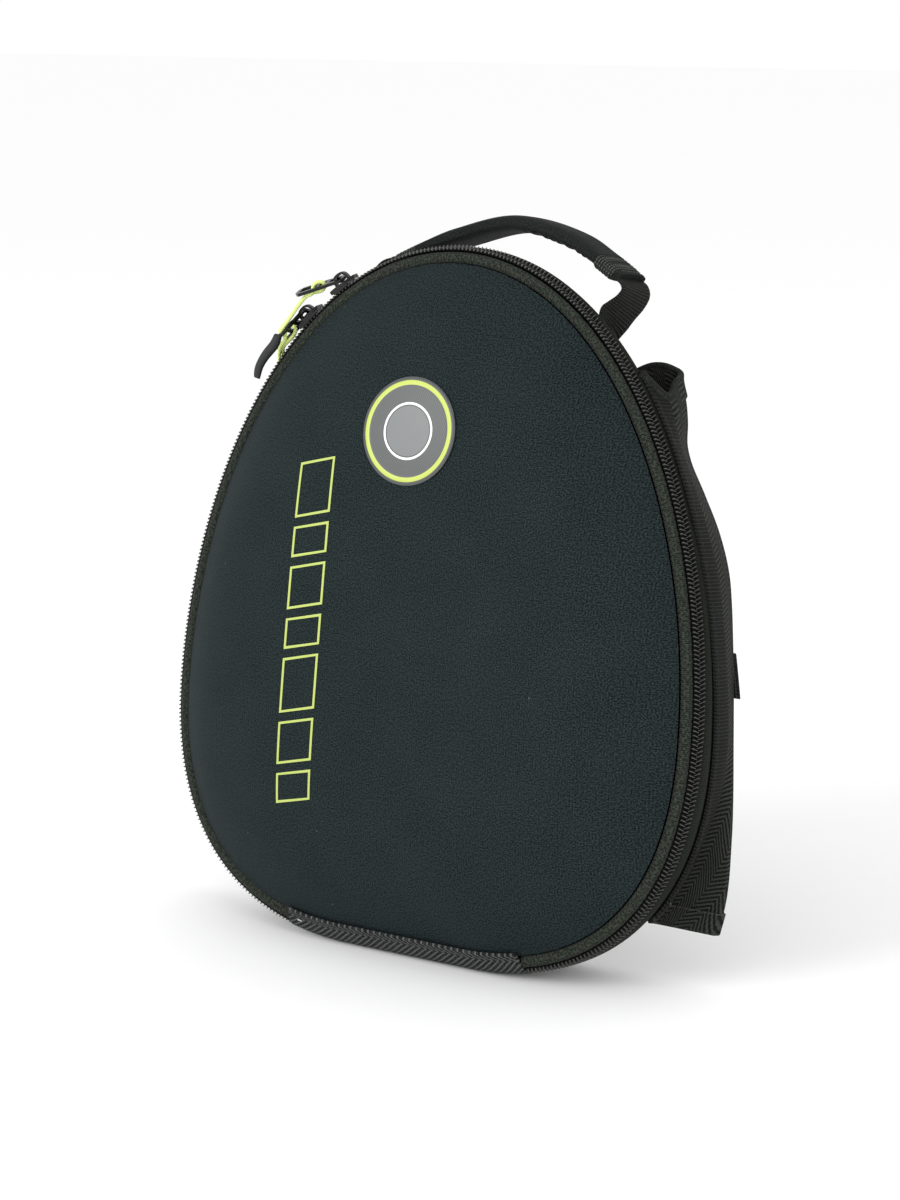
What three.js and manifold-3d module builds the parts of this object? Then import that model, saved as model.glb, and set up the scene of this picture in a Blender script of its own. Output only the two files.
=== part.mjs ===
import * as THREE from 'three';
import Module from 'manifold-3d';

// Sizes, all in millimetres.
// The bag is drawn in its own frame: x to the right, y from its front to its back, z up along the zip.
// A back value is a distance behind the lid's edge, an out value a distance outside that edge.
const lean = THREE.MathUtils.degToRad(8.5);
const gap = 0.5;

// Lid edge: an egg with a narrow top and a nearly flat bottom
const egg = {
  top: 161, bottom: -169, halfWidth: 142, widest: -58,
  topPull: 82, upperPull: 116, lowerPull: 80, basePull: 58, baseFlat: 36,
};
const lid = { rise: 31, power: 5, wall: 5 };
const lidRings = [1, 0.975, 0.94, 0.89, 0.82, 0.72, 0.55, 0.3];
const eggCentre = -15;
const stations = 72;

// Rear shell: how far outside the lid's edge its wall lies, at the sides and at the top, by depth.
// The bottom wall slopes by the lean, so the bag stands on it.
const rearWall = [
  { back: 10.5, side: 7, top: 7 },
  { back: 20, side: 5.8, top: 2 },
  { back: 30, side: 3.6, top: -5 },
  { back: 40, side: -0.4, top: -12.6 },
  { back: 43.6, side: -4.4, top: -18 },
  { back: 45, side: -10, top: -25 },
];
const rearShell = { wall: 2.2, panelRing: 0.35 };

// Zip: two tapes and the closed coil between them
const zipTapeFront = { inner: [0.9, 1.35], outer: [6.2, 2.95], thickness: 1 };
const zipChain = { centreOut: 7.8, centreBack: 6.35, width: 6.4, thickness: 2.4, facing: 75 };
const zipTapeRear = { from: 10.4, to: 18.5, thickness: 1 };
const zipSteps = 72;

// Hinge webbing folded round the bottom edge
const hinge = { halfLength: 67, thickness: 2, steps: 14, backEnd: 44.8 };

// Sleeve of webbing sewn to both sides and passing behind the rear shell
const sleeve = { thickness: 1.4, clear: 2.3, backFace: 45.7, rows: 15 };
const sleeveSeam = [
  { height: 115, back: 13 },
  { height: 60, back: 12.5 },
  { height: 10, back: 15.5 },
  { height: -60, back: 21.5 },
  { height: -146, back: 24 },
];
const sleeveEdge = [
  { height: 122, x: 104 },
  { height: 107, x: 106 },
  { height: 78, x: 112.5 },
  { height: 68, x: 118.5 },
  { height: 50, x: 130.8 },
  { height: 13, x: 144.6 },
  { height: -43, x: 150.8 },
  { height: -100, x: 153.6 },
  { height: -132, x: 153 },
  { height: -146, x: 150.2 },
];
const strapTail = { top: -13, bottom: -33, inner: 112, past: -1.8, thickness: 1.6 };

// Carrying handle: a padded band that has slipped a little to the right, on two legs of webbing.
// A leg row gives the height of its front and of its rear edge.
const handle = { back: 40, width: 26, thickness: 8, endThickness: 6 };
const handleArch = [
  { x: -57.5, height: 160.4 },
  { x: -37, height: 169.8 },
  { x: -20, height: 176 },
  { x: 12, height: 183.4 },
  { x: 43.5, height: 176.8 },
  { x: 57.5, height: 169.9 },
  { x: 74.5, height: 159.7 },
];
const handleLeg = { width: 24.6, thickness: 1.8, clear: 2.7, rightFoot: 72, leftFoot: -66, footBack: 31.1 };
const rightLeg = [
  { x: 75.5, front: 159.4, rear: 158.9 },
  { x: 78, front: 157.8, rear: 157 },
  { x: 80, front: 154.6, rear: 152.6 },
  { x: 78.4, front: 150.6, rear: 146.6 },
  { x: 74.8, front: 147.2, rear: 140.8 },
  { x: 71.2, front: 144, rear: 134 },
];
const leftLeg = [
  { x: -58.4, front: 160.2, rear: 159.7 },
  { x: -60.2, front: 158.8, rear: 157.6 },
  { x: -62.2, front: 155.4, rear: 152.2 },
  { x: -63.8, front: 151.4, rear: 145.8 },
  { x: -65, front: 148, rear: 138.6 },
];

// Zip sliders and their pulls
const slider = {
  length: 15.5, width: 10.4, plate: 1.8, lift: 1.65,
  bridgeLength: 9.4, bridgeWidth: 2.4, bridgeRise: 5.4,
};
const tab = { thickness: 1.6, halfWidth: 4.4, length: 26 };
const cordRadius = 1;
const gripRings = [
  { along: 0, width: 4.6, depth: 4.4 },
  { along: 0.2, width: 5.4, depth: 4.8 },
  { along: 0.48, width: 5.4, depth: 4.4 },
  { along: 0.78, width: 4.8, depth: 3.6 },
  { along: 1, width: 4, depth: 3 },
];
const badge = { height: 79.5, radius: 26, thickness: 0.7, rings: 3, sectors: 28 };

// Materials, one colour set for each kind of surface
const surfaces = {
  shell: { color: 0x14191b, roughness: 0.72, metalness: 0 },
  tape: { color: 0x161716, roughness: 0.85, metalness: 0 },
  coil: { color: 0x0d0d0d, roughness: 0.42, metalness: 0 },
  webbing: { color: 0x191917, roughness: 0.82, metalness: 0 },
  grip: { color: 0x15191a, roughness: 0.75, metalness: 0 },
  metal: { color: 0x0b0b0c, roughness: 0.3, metalness: 0.6 },
  cord: { color: 0xc6f135, roughness: 0.6, metalness: 0 },
  rubber: { color: 0x202322, roughness: 0.7, metalness: 0 },
  badge: { color: 0x565a5c, roughness: 0.5, metalness: 0 },
};

const flat = (x, z) => new THREE.Vector2(x, z);
const spot = (x, y, z) => new THREE.Vector3(x, y, z);

// Right half of the lid's edge, from the top centre round to the bottom centre
const halfEgg = new THREE.CurvePath();
halfEgg.add(new THREE.CubicBezierCurve(
  flat(0, egg.top), flat(egg.topPull, egg.top),
  flat(egg.halfWidth, egg.widest + egg.upperPull), flat(egg.halfWidth, egg.widest)));
halfEgg.add(new THREE.CubicBezierCurve(
  flat(egg.halfWidth, egg.widest), flat(egg.halfWidth, egg.widest - egg.lowerPull),
  flat(egg.baseFlat + egg.basePull, egg.bottom), flat(egg.baseFlat, egg.bottom)));
halfEgg.add(new THREE.LineCurve(flat(egg.baseFlat, egg.bottom), flat(0, egg.bottom)));
const halfLength = halfEgg.getLength();

// Point and outward direction on the lid's edge. Reach runs from -1 at the bottom centre, round the left
// side to 0 at the top, and round the right side to 1 at the bottom centre.
function edgeAt(reach) {
  const side = reach < 0 ? -1 : 1;
  const part = Math.min(Math.abs(reach), 1);
  const point = halfEgg.getPoint(part);
  const tangent = halfEgg.getTangent(part);
  return { x: side * point.x, z: point.y, outX: side * -tangent.y, outZ: tangent.x };
}

function besideEdge(reach, out, back) {
  const edge = edgeAt(reach);
  return spot(edge.x + edge.outX * out, back, edge.z + edge.outZ * out);
}

// Linear reading of one column of a table against another
function readTable(table, key, column, value) {
  const rising = table[0][key] < table[table.length - 1][key];
  const rows = rising ? table : [...table].reverse();
  if (value <= rows[0][key]) {
    return rows[0][column];
  }
  for (let i = 1; i < rows.length; i++) {
    if (value <= rows[i][key]) {
      const part = (value - rows[i - 1][key]) / (rows[i][key] - rows[i - 1][key]);
      return THREE.MathUtils.lerp(rows[i - 1][column], rows[i][column], part);
    }
  }
  return rows[rows.length - 1][column];
}

// How far outside the lid's edge the rear shell's wall lies
function wallOut(reach, back) {
  const edge = edgeAt(reach);
  const side = readTable(rearWall, 'back', 'side', back);
  const slope = Math.tan(lean) * (back - rearWall[0].back);
  const bottom = rearWall[0].side - slope;
  const upright = edge.outZ > 0 ? readTable(rearWall, 'back', 'top', back) : bottom;
  return THREE.MathUtils.lerp(side, upright, edge.outZ * edge.outZ);
}

function wallPoint(reach, back, grown) {
  return besideEdge(reach, wallOut(reach, back) + grown, back);
}

// Reach between 0 and a limit at which a test turns from true to false
function reachWhere(isBefore, limit) {
  let low = 0;
  let high = limit;
  for (let i = 0; i < 40; i++) {
    const middle = (low + high) / 2;
    if (isBefore(middle)) {
      low = middle;
    } else {
      high = middle;
    }
  }
  return low;
}

// Points of the right wall, grown by some clearance, at a given height or at a given x near the top
function wallAtHeight(height, back, grown) {
  const reach = reachWhere((part) => wallPoint(part, back, grown).z > height, 0.93);
  return wallPoint(reach, back, grown);
}

function wallAtX(x, back, grown) {
  const reach = reachWhere((part) => wallPoint(part, back, grown).x < x, 0.4);
  return wallPoint(reach, back, grown);
}

// Closed solid through rings of equal count. Each end is closed by strips across its ring.
function loft(rings) {
  const count = rings[0].length;
  const positions = rings.flat().flatMap((point) => [point.x, point.y, point.z]);
  const faces = [];
  for (let ring = 0; ring + 1 < rings.length; ring++) {
    for (let i = 0; i < count; i++) {
      const here = ring * count + i;
      const next = ring * count + (i + 1) % count;
      faces.push(here, next, next + count, here, next + count, here + count);
    }
  }
  const last = (rings.length - 1) * count;
  for (let i = 0; i + 1 < count / 2; i++) {
    const far = count - 1 - i;
    faces.push(i + 1, i, far, i + 1, far, far - 1);
    faces.push(last + i, last + i + 1, last + far, last + i + 1, last + far - 1, last + far);
  }
  const geometry = new THREE.BufferGeometry();
  geometry.setAttribute('position', new THREE.Float32BufferAttribute(positions, 3));
  geometry.setIndex(faces);
  return facingOut(geometry);
}

// Turns every face over if the solid is inside out
function facingOut(geometry) {
  const position = geometry.getAttribute('position');
  const index = geometry.getIndex();
  const corners = [spot(), spot(), spot()];
  let volume = 0;
  for (let i = 0; i < index.count; i += 3) {
    corners.forEach((corner, k) => corner.fromBufferAttribute(position, index.getX(i + k)));
    volume += corners[0].dot(corners[1].cross(corners[2]));
  }
  if (volume < 0) {
    geometry.setIndex([...index.array].reverse());
  }
  return geometry;
}

// Sheet of even thickness on a grid of points. A negative thickness grows it on the other side.
function sheet(rows, thickness) {
  const lastRow = rows.length - 1;
  const lastColumn = rows[0].length - 1;
  const rings = rows.map((row, r) => {
    const outer = row.map((point, c) => {
      const down = rows[Math.min(r + 1, lastRow)][c].clone().sub(rows[Math.max(r - 1, 0)][c]);
      const across = row[Math.min(c + 1, lastColumn)].clone().sub(row[Math.max(c - 1, 0)]);
      const normal = down.cross(across).normalize();
      return point.clone().addScaledVector(normal, thickness);
    });
    return [...row, ...outer.reverse()];
  });
  return loft(rings);
}

function tube(points, radius, steps, sides) {
  const curve = new THREE.CatmullRomCurve3(points);
  const frames = curve.computeFrenetFrames(steps, false);
  const rings = [];
  for (let i = 0; i <= steps; i++) {
    const centre = curve.getPointAt(i / steps);
    const ring = [];
    for (let k = 0; k < sides; k++) {
      const turn = (2 * Math.PI * k) / sides;
      const point = centre.clone().addScaledVector(frames.normals[i], radius * Math.cos(turn));
      ring.push(point.addScaledVector(frames.binormals[i], radius * Math.sin(turn)));
    }
    rings.push(ring);
  }
  return loft(rings);
}

function spaced(from, to, steps) {
  return Array.from({ length: steps + 1 }, (_, i) => from + ((to - from) * i) / steps);
}

const allRound = spaced(-1, 1, stations).slice(0, stations);

// Lid: egg rings shrinking to the middle while they rise to the front
function lidPoint(reach, scale, inset, rise) {
  const edge = edgeAt(reach);
  const x = edge.x - edge.outX * inset;
  const z = edge.z - edge.outZ * inset;
  const forward = rise * (1 - scale ** lid.power);
  return spot(x * scale, -forward, eggCentre + (z - eggCentre) * scale);
}

function lidRing(scale, inset, rise) {
  return allRound.map((reach) => lidPoint(reach, scale, inset, rise));
}

function frontShell() {
  const outside = lidRings.map((scale) => lidRing(scale, 0, lid.rise));
  const inside = lidRings.map((scale) => lidRing(scale, lid.wall, lid.rise - lid.wall));
  return loft([...inside.reverse(), ...outside]);
}

// Height of the lid's face above its edge at a place on it
function lidFront(x, z) {
  const turn = Math.atan2(Math.abs(x), z - eggCentre);
  const edge = edgeAt(reachWhere((part) => {
    const there = edgeAt(part);
    return Math.atan2(there.x, there.z - eggCentre) < turn;
  }, 1));
  const scale = Math.hypot(x, z - eggCentre) / Math.hypot(edge.x, edge.z - eggCentre);
  return lid.rise * (1 - scale ** lid.power);
}

// Rear shell: wall rings from the rim to the back panel, hollow to the front
function rearShellSolid() {
  const ringAt = (row, inset) => allRound.map((reach) => {
    const out = wallOut(reach, row.back) - inset;
    return besideEdge(reach, out, inset > 0 ? Math.min(row.back, rearWall.at(-1).back - inset) : row.back);
  });
  const panel = (ring) => ring.map((point) => spot(
    point.x * rearShell.panelRing, point.y, eggCentre + (point.z - eggCentre) * rearShell.panelRing));
  const outside = rearWall.map((row) => ringAt(row, 0));
  const inside = rearWall.slice(0, -1).map((row) => ringAt(row, rearShell.wall));
  outside.push(panel(outside.at(-1)));
  inside.push(panel(inside.at(-1)));
  return loft([...inside.reverse(), ...outside]);
}

// Zip parts run from the hinge's right end over the top to its left end
const zipReach = 1 - (hinge.halfLength + 1) / halfLength;
const zipStations = spaced(-zipReach, zipReach, zipSteps);

function zipTapeFrontSolid() {
  const rows = zipStations.map((reach) => [
    besideEdge(reach, ...zipTapeFront.inner),
    besideEdge(reach, ...zipTapeFront.outer),
  ]);
  return sheet(rows, zipTapeFront.thickness);
}

function chainAxes() {
  const turn = THREE.MathUtils.degToRad(zipChain.facing);
  return { across: [Math.cos(turn), Math.sin(turn)], outward: [Math.sin(turn), -Math.cos(turn)] };
}

function zipChainSolid() {
  const { across, outward } = chainAxes();
  const halfWidth = zipChain.width / 2;
  const halfThickness = zipChain.thickness / 2;
  const profile = [
    [-1, 0.25], [-0.6, 1], [0.6, 1], [1, 0.25],
    [1, -0.4], [0.6, -1], [-0.6, -1], [-1, -0.4],
  ];
  const rings = zipStations.map((reach) => profile.map(([u, v]) => besideEdge(
    reach,
    zipChain.centreOut + u * halfWidth * across[0] + v * halfThickness * outward[0],
    zipChain.centreBack + u * halfWidth * across[1] + v * halfThickness * outward[1])));
  return loft(rings);
}

function zipTapeRearSolid() {
  const depths = spaced(zipTapeRear.from, zipTapeRear.to, 2);
  const rows = zipStations.map((reach) => depths.map((back) => wallPoint(reach, back, gap)));
  return sheet(rows, zipTapeRear.thickness);
}

function hingeSolid() {
  const reachEnd = 1 - hinge.halfLength / halfLength;
  const half = spaced(reachEnd, 1, hinge.steps / 2);
  const stationsAcross = [...half, ...half.slice(0, -1).reverse().map((reach) => -reach)];
  const nose = [[-1.6, -2.4], [0.7, -0.5], [4.2, 1.4], [6.7, 4.6], [7.6, 8.4]];
  const underside = spaced(11.5, hinge.backEnd, 4);
  const rows = stationsAcross.map((reach) => [
    ...nose.map(([out, back]) => besideEdge(reach, out, back)),
    ...underside.map((back) => wallPoint(reach, back, gap)),
  ]);
  return sheet(rows, hinge.thickness);
}

// Sleeve: each column of its right half is a curve over height, from the seam on the bag's side,
// over the ridge and round the outer edge, to the middle of the back
function sleeveColumns() {
  const edgeX = (height) => readTable(sleeveEdge, 'height', 'x', height);
  const seamBack = (height) => readTable(sleeveSeam, 'height', 'back', height);
  const seam = (height) => wallAtHeight(height, seamBack(height), sleeve.clear);
  const turn = (height) => spot(edgeX(height) - 2.4, sleeve.backFace - 4.2, height);
  const between = (height, part) => {
    const front = seam(height);
    const rear = turn(height);
    const back = THREE.MathUtils.lerp(front.y, rear.y, part);
    const wall = wallAtHeight(height, back, sleeve.clear);
    const bulge = 4 * part * (1 - part) * 1.2;
    const taut = THREE.MathUtils.lerp(front.x, rear.x, part) + bulge;
    const tucked = THREE.MathUtils.smoothstep(-height, 45, 105);
    return spot(Math.max(wall.x, THREE.MathUtils.lerp(taut, wall.x, tucked)), back, height);
  };
  return [
    { top: 112, bottom: -143, place: seam },
    { top: 109, bottom: -143.5, place: (height) => between(height, 0.4) },
    { top: 107, bottom: -144.5, place: (height) => between(height, 0.72) },
    { top: 108, bottom: -146, place: turn },
    { top: 111, bottom: -146, place: (height) => spot(edgeX(height) - 2.9, sleeve.backFace - 1.4, height) },
    { top: 115, bottom: -146, place: (height) => spot(edgeX(height) - 5.2, sleeve.backFace, height) },
    { top: 119, bottom: -146, place: (height) => spot(edgeX(height) - 10, sleeve.backFace, height) },
    { top: 117, bottom: -146, place: (height) => spot(edgeX(height) - 18, sleeve.backFace, height) },
    { top: 102, bottom: -146, place: (height) => spot(edgeX(height) * 0.45, sleeve.backFace, height) },
  ];
}

function sleeveSolid() {
  const columns = sleeveColumns();
  const mirrored = (point) => spot(-point.x, point.y, point.z);
  const rows = spaced(0, 1, sleeve.rows).map((part) => {
    const right = columns.map(({ top, bottom, place }) => {
      const height = THREE.MathUtils.lerp(top, bottom, part);
      return place(height);
    });
    return [...right, ...right.map(mirrored).reverse()];
  });
  return sheet(rows, sleeve.thickness);
}

function strapTailSolid(side) {
  const middle = (strapTail.top + strapTail.bottom) / 2;
  const outer = readTable(sleeveEdge, 'height', 'x', middle) + strapTail.past;
  const length = outer - strapTail.inner;
  const box = new THREE.BoxGeometry(length, strapTail.thickness, strapTail.top - strapTail.bottom);
  const back = sleeve.backFace + sleeve.thickness + gap + strapTail.thickness / 2;
  return box.translate(side * (outer + strapTail.inner) / 2, back, middle);
}

// Handle grip: a padded band arched over the top, thinner where its ends are sewn flat
function handleGripSolid() {
  const arch = new THREE.SplineCurve(handleArch.map((row) => flat(row.x, row.height)));
  const wide = handle.width / 2;
  const profile = [
    [-1, 0.35], [-0.82, 0.9], [-0.4, 1], [0.4, 1], [0.82, 0.9], [1, 0.35],
    [1, -0.35], [0.82, -0.9], [0.4, -1], [-0.4, -1], [-0.82, -0.9], [-1, -0.35],
  ];
  const rings = spaced(0, 1, 22).map((part) => {
    const middle = arch.getPointAt(part);
    const tangent = arch.getTangentAt(part);
    const up = spot(-tangent.y, 0, tangent.x);
    const pad = THREE.MathUtils.smoothstep(Math.min(part, 1 - part), 0.03, 0.16);
    const thick = THREE.MathUtils.lerp(handle.endThickness, handle.thickness, pad) / 2;
    return profile.map(([u, v]) => {
      const point = spot(middle.x, handle.back + u * wide, middle.y);
      return point.addScaledVector(up, v * thick);
    });
  });
  return loft(rings);
}

// Leg: from the grip's end, down and inwards to the sloping wall it is sewn on
function handleLegSolid(path, footX) {
  const across = spaced(-0.5, 0.5, 4);
  const front = new THREE.SplineCurve(path.map((row) => flat(row.x, row.front)));
  const rear = new THREE.SplineCurve(path.map((row) => flat(row.x, row.rear)));
  const steps = 10;
  const rows = spaced(0, 1, steps).slice(0, steps).map((part) => {
    const middleBack = THREE.MathUtils.lerp(handle.back, handleLeg.footBack, part);
    return across.map((u) => {
      const point = front.getPoint(part).lerp(rear.getPoint(part), u + 0.5);
      return spot(point.x, middleBack + u * handleLeg.width, point.y);
    });
  });
  rows.push(across.map((u) => {
    const foot = wallAtX(Math.abs(footX), handleLeg.footBack + u * handleLeg.width, handleLeg.clear);
    return spot(Math.sign(footX) * foot.x, foot.y, foot.z);
  }));
  return sheet(rows, -handleLeg.thickness);
}

// Booleans, for the sliders only
const wasm = await Module();
wasm.setup();

function toManifold(geometry) {
  const bare = geometry.index ? geometry.toNonIndexed() : geometry;
  const positions = Float32Array.from(bare.getAttribute('position').array);
  const corners = Uint32Array.from({ length: positions.length / 3 }, (_, i) => i);
  const mesh = new wasm.Mesh({ numProp: 3, vertProperties: positions, triVerts: corners });
  mesh.merge();
  return new wasm.Manifold(mesh);
}

function fromManifold(manifold) {
  const mesh = manifold.getMesh();
  const geometry = new THREE.BufferGeometry();
  geometry.setAttribute('position', new THREE.Float32BufferAttribute(mesh.vertProperties, 3));
  geometry.setIndex([...mesh.triVerts]);
  return geometry;
}

// Frame of the coil at a reach: x along the coil, y across it to the back, z out of its face
function coilFrame(reach) {
  const { across, outward } = chainAxes();
  const edge = edgeAt(reach);
  const direction = ([out, back]) => spot(edge.outX * out, back, edge.outZ * out);
  const acrossAxis = direction(across);
  const outwardAxis = direction(outward);
  const alongAxis = acrossAxis.clone().cross(outwardAxis);
  const origin = besideEdge(reach, zipChain.centreOut, zipChain.centreBack);
  return new THREE.Matrix4().makeBasis(alongAxis, acrossAxis, outwardAxis).setPosition(origin);
}

// Slider: a shield plate over the coil, two side flanges and the bridge that carries the pull tab
function sliderSolid() {
  const nose = slider.length / 2;
  const half = slider.width / 2;
  const plateShape = new THREE.Shape([
    flat(-nose, -half * 0.7), flat(-nose * 0.6, -half), flat(nose * 0.35, -half), flat(nose, -half * 0.45),
    flat(nose, half * 0.45), flat(nose * 0.35, half), flat(-nose * 0.6, half), flat(-nose, half * 0.7),
  ]);
  const plate = new THREE.ExtrudeGeometry(plateShape, { depth: slider.plate, bevelEnabled: false });
  plate.translate(0, 0, slider.lift);
  let solid = toManifold(plate);
  for (const side of [-1, 1]) {
    const flange = new THREE.BoxGeometry(slider.length * 0.62, 1.1, 1.4);
    flange.translate(-1, side * (half - 0.56), slider.lift - 0.3);
    solid = solid.add(toManifold(flange));
  }
  const foot = slider.lift + slider.plate - 0.4;
  const crown = slider.lift + slider.plate + slider.bridgeRise;
  const reach = slider.bridgeLength / 2;
  const arch = new THREE.Shape();
  arch.moveTo(-reach, foot);
  arch.bezierCurveTo(-reach, crown, -2, crown, 0, crown);
  arch.bezierCurveTo(2, crown, reach, crown, reach, foot);
  arch.lineTo(reach - 1.3, foot);
  arch.bezierCurveTo(reach - 1.3, crown - 1.4, 2, crown - 1.2, 0, crown - 1.2);
  arch.bezierCurveTo(-2, crown - 1.2, 1.3 - reach, crown - 1.4, 1.3 - reach, foot);
  const bridge = new THREE.ExtrudeGeometry(
    arch, { depth: slider.bridgeWidth, bevelEnabled: false, curveSegments: 6 });
  bridge.translate(0, 0, -slider.bridgeWidth / 2);
  bridge.rotateX(Math.PI / 2);
  return fromManifold(solid.add(toManifold(bridge)));
}

// Pull tab: an eye round the bridge, and two slots with a bar between them that carries the cord
function tabSolid() {
  const end = -tab.length;
  const half = tab.halfWidth;
  const outline = new THREE.Shape([
    flat(1.9, -3), flat(1.9, 3), flat(0.9, 3.8), flat(-6.5, 3.8), flat(-8.5, half),
    flat(end + 2.2, half), flat(end, half - 2.2), flat(end, 2.2 - half), flat(end + 2.2, -half),
    flat(-8.5, -half), flat(-6.5, -3.8), flat(0.9, -3.8),
  ]);
  const slots = [[-6.4, 0.2, 2.1], [-12.4, -8.6, 2.5], [-23.6, -14.2, 2.7]];
  for (const [from, to, width] of slots) {
    const corners = [flat(from, -width), flat(to, -width), flat(to, width), flat(from, width)];
    outline.holes.push(new THREE.Path(corners));
  }
  const solid = new THREE.ExtrudeGeometry(outline, { depth: tab.thickness, bevelEnabled: false });
  solid.translate(0, 0, -tab.thickness / 2);
  return fromManifold(toManifold(solid));
}

// The two pulls hang from neighbouring sliders on the upper left.
// Each cord passes two hanging points, its strands lying half their distance to either side of them.
const pulls = [
  {
    name: 'upper', height: 145.5, noseUp: true, swing: 18, twist: 13,
    hang: [spot(-95.7, -2.8, 126.8), spot(-99.2, -3.7, 121.5)], apart: spot(-0.5, 1.1, 0.3),
    grip: [
      spot(-99.7, -3.7, 120.4), spot(-100, -3.7, 117.2), spot(-103.3, -3.6, 112.6),
      spot(-108.1, -3.2, 108.6), spot(-111.1, -2.6, 104.2), spot(-112.5, -1.6, 97.3),
    ],
  },
  {
    name: 'lower', height: 128.5, noseUp: false, swing: 0, twist: -20,
    hang: [spot(-108.8, 13, 108), spot(-113.9, 19.5, 100.7)], apart: spot(0.6, 1.2, 0.5),
    grip: [
      spot(-114.6, 20.3, 99.6), spot(-119.8, 22.6, 92),
      spot(-123.4, 23.4, 84.5), spot(-126, 23.6, 76.5),
    ],
  },
];

function reachOnCoil(height) {
  const coil = (part) => besideEdge(part, zipChain.centreOut, zipChain.centreBack);
  return -reachWhere((part) => coil(part).z > height, 0.6);
}

// Places a pull's slider on the coil, and its tab in the slider's bridge
function pullFrames(pull) {
  const coil = coilFrame(reachOnCoil(pull.height));
  const turned = new THREE.Matrix4().makeRotationZ(pull.noseUp ? 0 : Math.PI);
  const sliderFrame = coil.clone().multiply(turned);
  const barHeight = slider.lift + slider.plate + slider.bridgeRise / 2 - 0.5;
  const tabFrame = coil.clone()
    .multiply(new THREE.Matrix4().makeTranslation(0, 0, barHeight))
    .multiply(new THREE.Matrix4().makeRotationY(THREE.MathUtils.degToRad(pull.swing)))
    .multiply(new THREE.Matrix4().makeRotationX(THREE.MathUtils.degToRad(pull.twist)));
  return { sliderFrame, tabFrame };
}

// Cord: up through one slot of the tab, over the bar and down through the other, both ends into the grip
function cordPath(pull, tabFrame) {
  const inTab = (x, y, z) => spot(x, y, z).applyMatrix4(tabFrame);
  const { hang, apart } = pull;
  return [
    hang[1].clone().add(apart), hang[0].clone().add(apart),
    inTab(-22, 1.15, -2.7), inTab(-13, 1.15, -2.6), inTab(-10.5, 1.15, -0.4), inTab(-11.2, 0.8, 1.5),
    inTab(-13.3, 0, 2.3),
    inTab(-15.6, -0.8, 1.5), inTab(-16.4, -1.15, -0.4), inTab(-18.6, -1.15, -2.3), inTab(-22, -1.15, -2.7),
    hang[0].clone().sub(apart), hang[1].clone().sub(apart),
  ];
}

function gripSolid(points) {
  const curve = new THREE.CatmullRomCurve3(points);
  const rings = gripRings.map(({ along, width, depth }) => {
    const centre = curve.getPointAt(along);
    const tangent = curve.getTangentAt(along);
    const deep = spot(0, 1, 0).addScaledVector(tangent, -tangent.y).normalize();
    const wide = tangent.clone().cross(deep);
    return spaced(0, 2 * Math.PI, 12).slice(0, 12).map((turn) => centre.clone()
      .addScaledVector(wide, (Math.cos(turn) * width) / 2)
      .addScaledVector(deep, (Math.sin(turn) * depth) / 2));
  });
  return loft(rings);
}

// Badge: a thin round patch that follows the lid
function badgeSolid() {
  const turns = spaced(0, 2 * Math.PI, badge.sectors).slice(0, badge.sectors);
  const ringAt = (radius, lift) => turns.map((turn) => {
    const x = radius * Math.cos(turn);
    const z = badge.height + radius * Math.sin(turn);
    return spot(x, -lidFront(x, z) - lift, z);
  });
  const radii = spaced(badge.radius * 0.2, badge.radius, badge.rings);
  const inside = radii.map((radius) => ringAt(radius, gap));
  const outside = radii.map((radius) => ringAt(radius, gap + badge.thickness));
  return loft([...inside, ...outside.reverse()]);
}

// The bag leans back on its sloping bottom
const standing = new THREE.Matrix4().makeRotationX(-lean);
const bag = new THREE.Group();
bag.name = 'tank_bag';

function add(name, geometry, surface) {
  const placed = geometry.clone().applyMatrix4(standing);
  placed.deleteAttribute('normal');
  placed.deleteAttribute('uv');
  placed.computeVertexNormals();
  const mesh = new THREE.Mesh(placed, new THREE.MeshStandardMaterial(surfaces[surface]));
  mesh.name = name;
  bag.add(mesh);
}

add('front_shell', frontShell(), 'shell');
add('rear_shell', rearShellSolid(), 'shell');
add('zip_tape_front', zipTapeFrontSolid(), 'tape');
add('zip_chain', zipChainSolid(), 'coil');
add('zip_tape_rear', zipTapeRearSolid(), 'tape');
add('hinge_tape', hingeSolid(), 'webbing');
add('back_sleeve', sleeveSolid(), 'webbing');
add('strap_tail_right', strapTailSolid(1), 'webbing');
add('strap_tail_left', strapTailSolid(-1), 'webbing');
add('handle_grip', handleGripSolid(), 'grip');
add('handle_leg_right', handleLegSolid(rightLeg, handleLeg.rightFoot), 'webbing');
add('handle_leg_left', handleLegSolid(leftLeg, handleLeg.leftFoot), 'webbing');
for (const pull of pulls) {
  const { sliderFrame, tabFrame } = pullFrames(pull);
  add(`slider_${pull.name}`, sliderSolid().applyMatrix4(sliderFrame), 'metal');
  add(`pull_tab_${pull.name}`, tabSolid().applyMatrix4(tabFrame), 'metal');
  add(`pull_cord_${pull.name}`, tube(cordPath(pull, tabFrame), cordRadius, 36, 8), 'cord');
  add(`pull_grip_${pull.name}`, gripSolid(pull.grip), 'rubber');
}
add('badge', badgeSolid(), 'badge');

// The origin lies on the floor, half way between the bag's front and its back
const room = new THREE.Box3().setFromObject(bag);
const middle = room.getCenter(spot());
for (const piece of bag.children) {
  piece.geometry.translate(0, -middle.y, -room.min.z);
}

export default bag;
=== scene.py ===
import math

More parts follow.
